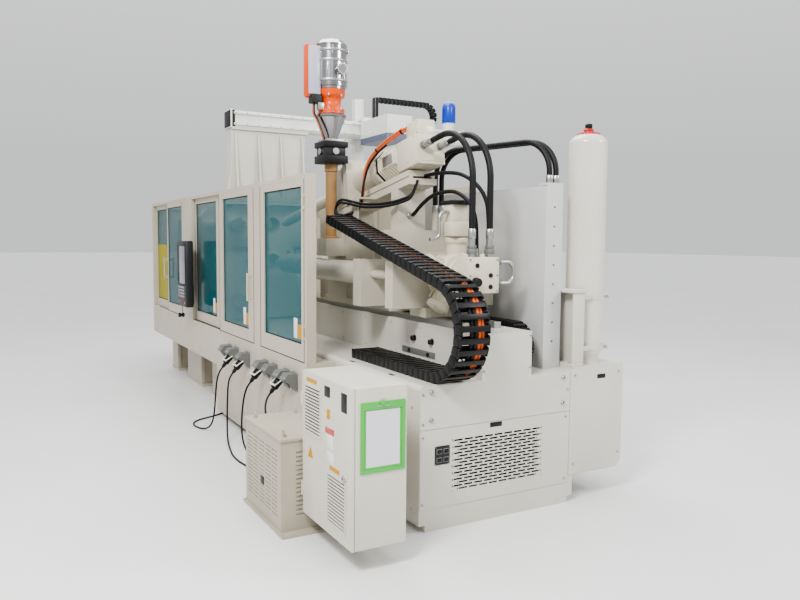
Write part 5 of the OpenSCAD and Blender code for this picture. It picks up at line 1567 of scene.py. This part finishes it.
@dataclass
class MotorTrim:
    """Radial piston motor with its star of cylinders, distributor, valve stack and pipes."""

    face_x: float = 3.55
    axis_z: float = 1.4
    star_r: float = 0.255

    def build(self, fixings: Fixings) -> None:
        """Makes the motor and its pipes.

        Args:
            fixings: Takes the screw heads.
        """
        self._motor(fixings)
        self._pipes()

    def _motor(self, fixings: Fixings) -> None:
        """Makes the star, its caps and the distributor.

        Args:
            fixings: Takes the screw heads.
        """
        x0, zc = self.face_x, self.axis_z
        foot, top = Vector((x0 + 0.13, 0, zc)), zc + self.star_r
        shape = Shape("radial_motor")
        body = turned((0.14, 0.0), (0.145, 0.006), (0.145, 0.036), (0.125, 0.044), (0.125, 0.238),
                      (0.105, 0.246),
                      (0.105, 0.299))
        shape.lathe(body, (x0, 0, zc), ENDWARD, MOTOR, 64)
        shape.prism([(u, zc + v) for u, v in circle(0.156, 10, 18)], "YZ", x0 + 0.06, x0 + 0.2, MOTOR, 0.012)
        arm = turned((0.064, 0.09), (0.064, 0.198), (0.0645, 0.205), (0.073, 0.214), (0.075, 0.218),
                     (0.075, 0.243), (0.071, 0.249), (0.052, 0.251), (0.048, 0.255))
        for z, y in circle(1.0, 5):
            out = Vector((0, -y, z))
            shape.lathe(arm, foot, out, MOTOR, 40)
            side = Vector(ENDWARD)
            other = out.cross(side)
            corners = [foot + out * 0.249 + side * s + other * t
                       for s, t in itertools.product((-0.044, 0.044), repeat=2)]
            fixings.add(Body.CROSSHEAD, corners, out, 0.0085)
            turn = Vector(UP).rotation_difference(out).to_matrix().to_4x4()
            for s in (-0.045, 0.0, 0.045):
                rib = Matrix.Translation(foot + out * 0.2 + other * 0.0655 + side * s)
                shape.box((-0.004, -0.004, -0.05), (0.004, 0.004, 0.0), MOTOR, 0.001, rib @ turn)
        for a, b, y, za, zb, finish, bevel in (
                (0.299, 0.43, 0.115, zc - 0.09, zc + 0.13, MOTOR, 0.008),
                (0.03, 0.21, 0.08, top - 0.001, top + 0.09, MOTOR, 0.006),
                (0.06, 0.17, 0.06, top + 0.089, top + 0.2, MOTOR, 0.005),
                (0.04, 0.2, 0.07, top + 0.2, top + 0.225, BLACK, 0.004)):
            shape.box((x0 + a, -y, za), (x0 + b, y, zb), finish, bevel)
        shape.lathe(turned((0.03, 0.0), (0.03, 0.012), (0.026, 0.014), (0.026, 0.034), (0.022, 0.04)),
                    (x0 + 0.43, -0.06, zc - 0.02), ENDWARD, BLACK, 28)
        for y, z in ((0.05, 0.02), (0.05, -0.05), (-0.05, 0.08)):
            shape.lathe([(0.0, 0.0), (0.014, 0.0), (0.014, 0.006), (0.0, 0.008)],
                        (x0 + 0.4295, y, zc + z), ENDWARD, GASKET_AND_SHADE_BLACK, 20)
        shape.done(Body.CROSSHEAD, "motor_paint", ("screw_motor",))
        fixings.grid(Body.CROSSHEAD, x0 + 0.43, (-0.1, 0.1), (zc - 0.075, zc + 0.02, zc + 0.115),
                     ENDWARD, 0.007)
        fixings.add(Body.CROSSHEAD, [(x0 + 0.3, u, zc + v) for u, v in circle(0.09, 6, 30)], ENDWARD, 0.008)
        fixings.grid(Body.CROSSHEAD, x0 + 0.03, (-0.06, 0.06), (top + 0.02, top + 0.07), (-1, 0, 0))

    def _pipes(self) -> None:
        """Makes hexagon fittings and bright bent pipes of the manifold."""
        shape = Shape("manifold_pipes")
        x, z = self.face_x + 0.385, self.axis_z + 0.13
        for y in (-0.06, 0.07):
            shape.lathe(turned((0.021, 0.0), (0.021, 0.11)), (x, y, z), UP, STEEL, 28)
            for at, radius, height in ((0.02, 0.032, 0.026), (0.05, 0.028, 0.022)):
                shape.nut((x, y, z + at), UP, radius * 0.93, radius, height)
        x, y, z = self.face_x + 0.4, 0.1153, self.axis_z - 0.03
        bend = 0.05
        loop = [Vector((x, y, z)), Vector((x, y + 0.08, z)),
                *arc((x, y + 0.08, z + bend), (0, 0, -1), FAR, bend, 0, 90, 8),
                *arc((x, y + 0.08, z + 0.08), FAR, UP, bend, 0, 90, 8), Vector((x, y, z + 0.13))]
        shape.pipe(loop, 0.0125, STEEL, 16)
        for end in (loop[0], loop[-1]):
            shape.nut(end, FAR, 0.021, 0.023, 0.025)
        x, z, bend = self.face_x + 0.13, self.axis_z + self.star_r + 0.15, 0.04
        run = [Vector((x, -0.0603, z)), Vector((x, -0.09, z)),
               *arc((x, -0.09, z - bend), UP, NEAR, bend, 0, 90, 8),
               *arc((x, -0.17, z - 0.13), FAR, (0, 0, -1), bend, 0, 90, 8), Vector((x, -0.2, z - 0.17))]
        shape.pipe(run, 0.0112, STEEL, 14)
        shape.done(Body.CROSSHEAD, "ground_steel", ("motor_pipes",))


@dataclass
class SecondUnitTrim:
    """Inclined second unit: ribbed motor casing, cover bolts, hose stubs and the orange cable."""

    origin: Point = (2.150, 0.0, 2.055)
    slope: float = 9.5
    end: float = 1.215

    def matrix(self) -> Matrix:
        """Returns the matrix of the sloping frame, whose X runs up along the unit."""
        return Matrix.Translation(self.origin) @ Matrix.Rotation(math.radians(-self.slope), 4, "Y")

    def build(self, fixings: Fixings) -> None:
        """Makes the casing, the bolts and the cables.

        Args:
            fixings: Takes the screw heads.
        """
        m = self.matrix()
        ahead, up = m.to_3x3() @ Vector(ENDWARD), m.to_3x3() @ Vector(UP)
        self._casing(m, ahead)
        self._bolts(fixings, m, ahead, up)
        self._cables(m)

    def _casing(self, m: Matrix, ahead: Vector) -> None:
        """Makes the ribbed casing with the two hose stubs.

        Args:
            m: The matrix of the sloping frame.
            ahead: The direction up along the unit.
        """
        shape = Shape("second_motor_casing")
        shape.prism(circle(0.115, 8, 22.5), "YZ", 0.640, 0.945, MOTOR, 0.006)
        shape.box((0.939, -0.11, -0.12), (self.end, 0.11, 0.08), MOTOR, 0.006)
        shape.box((1.03, -0.07, 0.079), (1.19, 0.07, 0.19), MOTOR, 0.008)
        shape.box((1.035, -0.066, 0.188), (1.185, 0.066, 0.1935), MOTOR, 0.003)
        rings = [(1.045, 0.66 + 0.035 * k, 0.672 + 0.035 * k, MOTOR, 0.003) for k in range(8)]
        rings += [(1.075, 0.64, 0.654, GASKET_AND_SHADE_BLACK, 0.002), (1.075, 0.922, 0.9395, MOTOR, 0.003)]
        for size, start, end, finish, bevel in rings:
            shape.prism(circle(0.115 * size, 8, 22.5), "YZ", start, end, finish, bevel)
        for side in (-1, 1):
            for x0, x1, z0, z1, inner, outer, finish, bevel in (
                    (0.73, 0.9, -0.045, 0.045, 0.10215, 0.1135, MOTOR, 0.003),
                    (0.745, 0.885, -0.036, 0.036, 0.1135, 0.1145, STEEL, 0.0006),
                    (1.06, 1.12, -0.085, -0.055, 0.11, 0.1115, SHEET, 0.0006)):
                low, high = sorted((side * inner, side * outer))
                shape.box((x0, low, z0), (x1, high, z1), finish, bevel)
        shape.box((self.end, -0.075, -0.1), (self.end + 0.003, 0.085, 0.05), MOTOR, 0.001)
        shape.bm.transform(m)
        for y in (-0.06, 0.07):
            foot = m @ Vector((self.end - 0.002, y, 0))
            shape.lathe(turned((0.023, 0.0), (0.023, 0.05), (0.02, 0.056), (0.02, 0.072)),
                        foot, ahead, STEEL, 28)
            shape.nut(foot + ahead * 0.012, ahead, 0.028, 0.030, 0.025)
        shape.done(Body.SECOND, "motor_paint", ("second_motor",))

    def _bolts(self, fixings: Fixings, m: Matrix, ahead: Vector, up: Vector) -> None:
        """Adds the screws of the casing and of the unit's housing.

        Args:
            fixings: Takes the screw heads.
            m: The matrix of the sloping frame.
            ahead: The direction up along the unit.
            up: The direction square to it.
        """
        for xs, ys, zs, out, radius in (
                ((self.end,), (-0.095, 0.098), (-0.105, 0.065), ahead, 0.006),
                ((0.955, 1.2), (-0.11,), (-0.105, 0.065), NEAR, 0.005),
                ((1.045, 1.175), (-0.07,), (0.1, 0.175), NEAR, 0.005),
                ((0.955, 1.2), (0.11,), (-0.105, 0.065), FAR, 0.005),
                ((1.045, 1.175), (0.07,), (0.1, 0.175), FAR, 0.005),
                ((1.05, 1.17), (-0.055, 0.055), (0.1935,), up, 0.005),
                ((-0.095, 0.055), (-0.13,), (-0.12, 0.11), NEAR, 0.008)):
            fixings.add(Body.SECOND, [m @ Vector(spot) for spot in itertools.product(xs, ys, zs)], out,
                        radius)
        fixings.add(Body.SECOND, [m @ Vector((0.64, u, v)) for u, v in circle(0.124, 8, 22.5)], ahead, 0.008)

    def _cables(self, m: Matrix) -> None:
        """Makes the orange cable and the black lead that drop to the chain's end.

        Args:
            m: The matrix of the sloping frame.
        """
        shape = Shape("drop_cables")
        start = [m @ Vector(p) for p in ((1.035, -0.072, 0.15), (1.0, -0.085, 0.15), (0.93, -0.10, 0.14),
                                         (0.82, -0.118, 0.118), (0.72, -0.135, 0.09), (0.62, -0.158, 0.03),
                                         (0.56, -0.172, -0.06))]
        tail = [Vector(p) for p in ((2.70, -0.178, 1.98), (2.69, -0.182, 1.91), (2.68, -0.205, 1.855),
                                    (2.665, -0.25, 1.825), (2.655, -0.3, 1.81), (2.655, -0.35, 1.79))]
        for k, lift in enumerate((0.0, 0.016)):
            shape.pipe(smooth_path([p + Vector((0.004 * k, -0.004 * k, lift)) for p in start]
                                   + [p + Vector((0.016 * k, -0.004 * k, 0)) for p in tail]), 0.0095,
                                   ORANGE_WIRE, 10)
        shape.pipe(smooth_path([p + Vector((0.03, -0.012, -0.014)) for p in start[3:]]
                               + [p + Vector((0.034, -0.02, 0.0)) for p in tail[:-1]]
                               + [Vector((2.675, -0.375, 1.79))]), 0.008, JACKET, 10)
        for k in (1, 4):
            shape.lathe(turned((0.021, -0.004), (0.021, 0.004)), start[k] + Vector((0, 0, 0.007)),
                        (start[k + 1] - start[k]).normalized(), BLACK, 16)
        shape.blended("cord_black", Body.SECOND, Body.CARRIAGE, (2.74, -0.17, 2.12), (2.70, -0.2, 1.87))


@dataclass
class Loader:
    """Hopper loader: black valve block, bright cone, orange valve, staved vessel and side box."""

    x: float = 2.290
    y: float = -0.250
    base: float = 2.215
    r: float = 0.128
    cone: float = 0.188
    gate: float = 0.188
    drum: float = 0.325

    def build(self, fixings: Fixings) -> None:
        """Makes the loader.

        Args:
            fixings: Takes the screw heads.
        """
        x, y, z0, z2 = self.x, self.y, self.base, self.levels()[1]
        shape = Shape("hopper_loader_dressed")
        self._valve(shape)
        self._vessel(shape)
        self._side_box(shape)
        shape.done(Body.CARRIAGE, "loader_steel", ("hopper_loader",))
        fixings.grid(Body.CARRIAGE, (x - 0.085, x + 0.085), (y - 0.085, y + 0.085), z0 + 0.165, UP, 0.007)
        fixings.grid(Body.CARRIAGE, x + 0.102, (y - 0.03, y + 0.03), (z2 + 0.01, z2 + 0.03), ENDWARD, 0.005)

    def levels(self) -> tuple[float, float, float, float]:
        """Returns the heights of the feet of cone, orange valve and vessel, and of the vessel's shoulder."""
        z1 = self.base + 0.185
        z2 = z1 + self.cone
        return z1, z2, z2 + self.gate, z2 + self.gate + self.drum

    def _valve(self, shape: Shape) -> None:
        """Makes the black slide valve at the foot.

        Args:
            shape: The loader.
        """
        x, y, z0 = self.x, self.y, self.base
        for half, low, high, finish, bevel in ((0.1, 0.0, 0.06, BLACK, 0.006),
                                               (0.085, 0.06, 0.125, HOUSING, 0.004),
                                               (0.1, 0.12, 0.165, BLACK, 0.006),
                                               (0.075, 0.164, 0.185, STEEL, 0.003)):
            shape.box((x - half, y - half, z0 + low), (x + half, y + half, z0 + high), finish, bevel)
        shape.rod((x + 0.08, y, z0 + 0.09), (x + 0.098, y, z0 + 0.09), 0.026, STEEL)
        shape.rod((x, y - 0.1, z0 + 0.09), (x, y - 0.08, z0 + 0.09), 0.026, STEEL)

    def _vessel(self, shape: Shape) -> None:
        """Makes the cone, the orange valve, the staved vessel with its clips, and the outlet.

        Args:
            shape: The loader.
        """
        z1, z2, z3, z4 = self.levels()
        x, y, r, at = self.x, self.y, self.r, (self.x, self.y, 0)
        shape.lathe([(0.05, z1), (0.055, z1), (0.055, z1 + 0.02), (r - 0.02, z2 - 0.026),
                     (r - 0.012, z2 - 0.022),
                     (r - 0.010, z2 - 0.004), (r - 0.02, z2), (0.0, z2)], at, UP, VESSEL, 48)
        valve = [(0.1, -0.001), (0.104, 0.003), (0.104, 0.038), (0.094, 0.05), (0.080, 0.068), (0.076, 0.08),
                 (0.076, 0.105), (0.084, 0.122), (0.102, 0.138), (0.107, 0.148)]
        shape.lathe(turned(*((u, z2 + v) for u, v in valve), (0.107, z3)), at, UP, ORANGE, 48)
        for u, v in circle(0.1, 6, 25):
            for foot in (z2 + 0.03, z3 - 0.056):
                shape.rod((x + u, y + v, foot), (x + u, y + v, foot + 0.022), 0.008, STEEL, 10)
        shape.lathe(turned(*((u, z3 + v) for u, v in ((0.111, 0.0), (0.111, 0.016), (0.124, 0.020),
                                                      (0.124, 0.034),
                                                      (0.117, 0.038))),
                           *((u, z4 + v) for u, v in ((0.117, -0.006), (0.122, -0.002), (0.122, 0.008),
                                                      (0.098, 0.036), (0.033, 0.0375), (0.03, 0.04),
                                                      (0.03, 0.056), (0.026, 0.059)))), at, UP, VESSEL, 56)
        hoop = [(0.115, 0.0), (0.124, 0.001), (0.126, 0.005), (0.126, 0.015), (0.124, 0.019), (0.115, 0.02)]
        for z in (z3 + 0.052, z3 + 0.2, z4 - 0.05):
            shape.lathe(hoop, (x, y, z), UP, STEEL, 48)
        for u, v in circle(0.1175, 18):
            if abs(v / 0.1175 + 1) >= 0.08:
                shape.rod((x + u, y + v, z3 + 0.07), (x + u, y + v, z3 + 0.202), 0.0055, CHROME, 8)
        for a in (math.radians(v) for v in (-20, 60, 150, 235)):
            out = Vector((math.cos(a), math.sin(a), 0))
            clip = Vector(at) + out * 0.124
            shape.rod(clip + Vector((0, 0, z4 - 0.075)), clip + Vector((0, 0, z4 - 0.01)), 0.005, STEEL, 8)
            shape.box((-0.007, -0.006, 0.0), (0.007, 0.006, 0.03), STEEL, 0.002,
                      Matrix.Translation(clip + Vector((0, 0, z4 - 0.05)) + out * 0.004))
        shape.rod((x + 0.1, y + 0.02, z3 + 0.135), (x + 0.172, y + 0.02, z3 + 0.135), 0.0345, VESSEL)
        shape.lathe(turned((0.04, 0.0), (0.04, 0.012)), (x + 0.158, y + 0.02, z3 + 0.135), ENDWARD, STEEL, 32)

    def _side_box(self, shape: Shape) -> None:
        """Makes the orange box at the vessel's side and the leads that drop from it.

        Args:
            shape: The loader.
        """
        z1, z2, z3, z4 = self.levels()
        x, y = self.x, self.y - self.r
        for a, b, ya, yb, low, high, finish, bevel in (
                (-0.062, 0.018, -0.082, 0.02, z3 - 0.07, z4 + 0.004, ORANGE, 0.022),
                (0.012, 0.05, -0.07, 0.024, z3 - 0.052, z4 - 0.014, LILAC, 0.012),
                (-0.03, 0.045, -0.05, 0.035, z3 - 0.115, z3 - 0.045, HOUSING, 0.006),
                (0.03, 0.06, -0.005, 0.045, z3 - 0.165, z3 - 0.11, STEEL, 0.004)):
            shape.box((x + a, y + ya, low), (x + b, y + yb, high), finish, bevel)
        near = self.y - 0.08
        for k, (finish, reach) in enumerate(((ORANGE_WIRE, 0.0), (JACKET, 0.012), (JACKET, -0.012))):
            lead = [(x + 0.01 + reach, y - 0.02, z3 - 0.112), (x + 0.012 + reach, y - 0.02, z3 - 0.19),
                    (x + 0.02 + reach, y + 0.004, z2 - 0.05), (x + 0.05 + reach, y + 0.03, z1 + 0.04),
                    (x + 0.06 + reach, near - 0.005, z1 - 0.01), (x + 0.06 + reach, near, z1 - 0.06)]
            shape.pipe(smooth_path(lead), 0.0065 - 0.001 * k, finish, 8)


@dataclass
class RobotTrim:
    """Trim of the robot: rail screws, blue cap of the drive motor, end cap, chain post and slate underside.
    """

    beam_x: Pair = (-0.03, 0.17)
    beam_z: Pair = (2.77, 2.93)

    def build(self, fixings: Fixings) -> None:
        """Makes the trim of the beam and the carriage.

        Args:
            fixings: Takes the screw heads.
        """
        (x0, x1), (z0, z1) = self.beam_x, self.beam_z
        fixings.grid(Body.FRAME, x1 + 0.016, [-0.36 + k * 0.12 for k in range(23)], (z0 + 0.025, z1 - 0.025),
                     ENDWARD, 0.005, BLACK)
        r, tall = 0.0808, 0.268
        profile = [(0.0, 0.0885), (0.079, 0.0885), (r, 0.092), (r, tall)]
        for a in (math.radians(9 * k) for k in range(1, 11)):
            profile.append((r * math.cos(a), tall + r * math.sin(a)))
        Shape("blue_cap").lathe(profile, (x1 - 0.06, 2.24, z1), UP, BLUE, 48).done(Body.FRAME, "robot_paint")
        under = Shape("carriage_underside")
        for lo, hi in (((0.1866, 1.042, 2.6738), (0.8058, 1.333, 2.675)),
                       ((0.1864, 1.0385, 2.676), (0.8058, 1.04, 2.74)),
                       ((0.8062, 1.042, 2.676), (0.8072, 1.333, 2.74))):
            under.box(lo, hi, SLATE, 0.0)
        under.done(Body.ROBOT, "robot_paint")
        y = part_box("robot_beam")[0][1]
        for name, lo, hi, bevel, body in (
                ("beam_end_cap", (x0 - 0.002, y - 0.004, z0 - 0.002), (x1 + 0.002, y + 0.05, z1 + 0.002),
                 0.004,
                 Body.FRAME),
                ("chain_post", (-0.0386, 1.2944, 2.9731), (0.0426, 1.3356, 3.2469), 0.003, Body.ROBOT)):
            Shape(name).box(lo, hi, BLACK, bevel).done(body, "panel_black")
        fixings.grid(Body.ROBOT, 0.8063, (1.06, 1.315), (2.77, 2.91), ENDWARD)
        fixings.grid(Body.ROBOT, (0.22, 0.5, 0.78), 1.04, (2.77, 2.91), NEAR)
        fixings.grid(Body.FRAME, (-0.105, 0.255), (-0.46, -0.24, 0.0, 0.24, 0.46), 2.0055, UP, 0.012)


# ------------ the carried-over parts


@dataclass
class FramePaint:
    """Finishes of the parts whose CAD shape is shown as it is."""

    finishes: dict[Finish, str] = field(default_factory=lambda: {
        PAINT: "clamp_base front_skirt guard_frame rear_guard gate_frame inner_door_frame outer_door_frame "
               "service_door_frame",
        PALE: "injection_base end_plates accumulator_bracket robot_riser",
        CASTING: "fixed_platen cylinder_platen clamp_cylinder moving_platen carriage_frame crosshead "
                 "injection_cylinders second_support second_housing",
        CHROME: "tie_bars clamp_piston hopper_loader main_screw",
        STEEL: "injection_rails ejector barrel motor_pipes second_screw",
        GLAZING: "fixed_window gate_window inner_door_window outer_door_window service_door_window",
        WHITE: "robot_beam robot_carriage robot_arm", CABINET: "cabinet_body cabinet_door",
        MOTOR: "screw_motor second_motor", SHEET: "splash_panel", BOTTLE: "accumulator", DULL: "heater_bands",
        GREEN: "document_holder", BOX_PAINT: "transformer_box", GREY_CAST: "socket_boxes", RED: "stop_button",
        HOUSING: "control_panel", AMBER: "drop_tube"})
    sharp: str = ("gate_window inner_door_window outer_door_window service_door_window fixed_window "
                  "splash_panel")
    fine: str = "cabinet_door transformer_box"

    def build(self, nodes: dict[str, bpy.types.Object]) -> None:
        """Dresses every carried-over node.

        Args:
            nodes: The CAD nodes by name.
        """
        joined = self._joined()
        for finish, names in self.finishes.items():
            for name in names.split():
                materials = nodes[name].data.materials
                materials.clear()
                materials.append(finish.material())
                nodes[name].modifiers.new("Joined", "NODES").node_group = joined
                if name not in self.sharp.split():
                    self._break_edges(nodes[name], 0.0012 if name in self.fine.split() else 0.0025)

    def _break_edges(self, node: bpy.types.Object, width: float) -> None:
        """Rounds a node's edges a little.

        Args:
            node: The CAD node.
            width: The width of the rounding.
        """
        bevel = node.modifiers.new("Broken edges", "BEVEL")
        bevel.width, bevel.segments = width, 2
        bevel.limit_method, bevel.angle_limit = "ANGLE", math.radians(40)
        bevel.harden_normals = bevel.use_clamp_overlap = True

    def _joined(self) -> bpy.types.NodeTree:
        """Builds the tree that joins a node's triangles and shades its round faces smoothly."""
        tree = bpy.data.node_groups.new("Joined faces", "GeometryNodeTree")
        for way in ("INPUT", "OUTPUT"):
            tree.interface.new_socket("Geometry", in_out=way, socket_type="NodeSocketGeometry")
        graph = Graph(tree)
        start = graph.add("NodeGroupInput").outputs["Geometry"]
        merge = graph.add("GeometryNodeMergeByDistance", {"Geometry": start, "Distance": 1e-5})
        soft = graph.add("GeometryNodeSetShadeSmooth", {"Geometry": merge.outputs["Geometry"]})
        angle = graph.add("GeometryNodeInputMeshEdgeAngle").outputs["Unsigned Angle"]
        steep = graph.add("FunctionNodeCompare", {"A": angle, "B": STEEP})
        hard = graph.add("GeometryNodeSetShadeSmooth", {
            "Geometry": soft.outputs["Geometry"], "Selection": steep.outputs["Result"],
            "Shade Smooth": False}, domain="EDGE")
        graph.add("NodeGroupOutput", {"Geometry": hard.outputs["Geometry"]})
        return tree


def main() -> None:
    """Builds the scene in order."""
    logging.basicConfig(level=logging.INFO, format="%(name)s: %(message)s")
    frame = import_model()
    Studio().build()
    SupplyCords().build()
    repeater = Repeater("Copies of a shape")
    EnergyChains().build(repeater)
    Hoses().build()
    FramePaint().build(frame["nodes"])
    fixings = Fixings(repeater)
    for part in (Guards(), OperatorPanel(), SideSockets(), SideCabinets(), InjectionEnd(), MotorTrim(),
                 SecondUnitTrim(), Loader(), RobotTrim()):
        part.build(fixings)
    fixings.build()


if __name__ == "__main__":
    main()
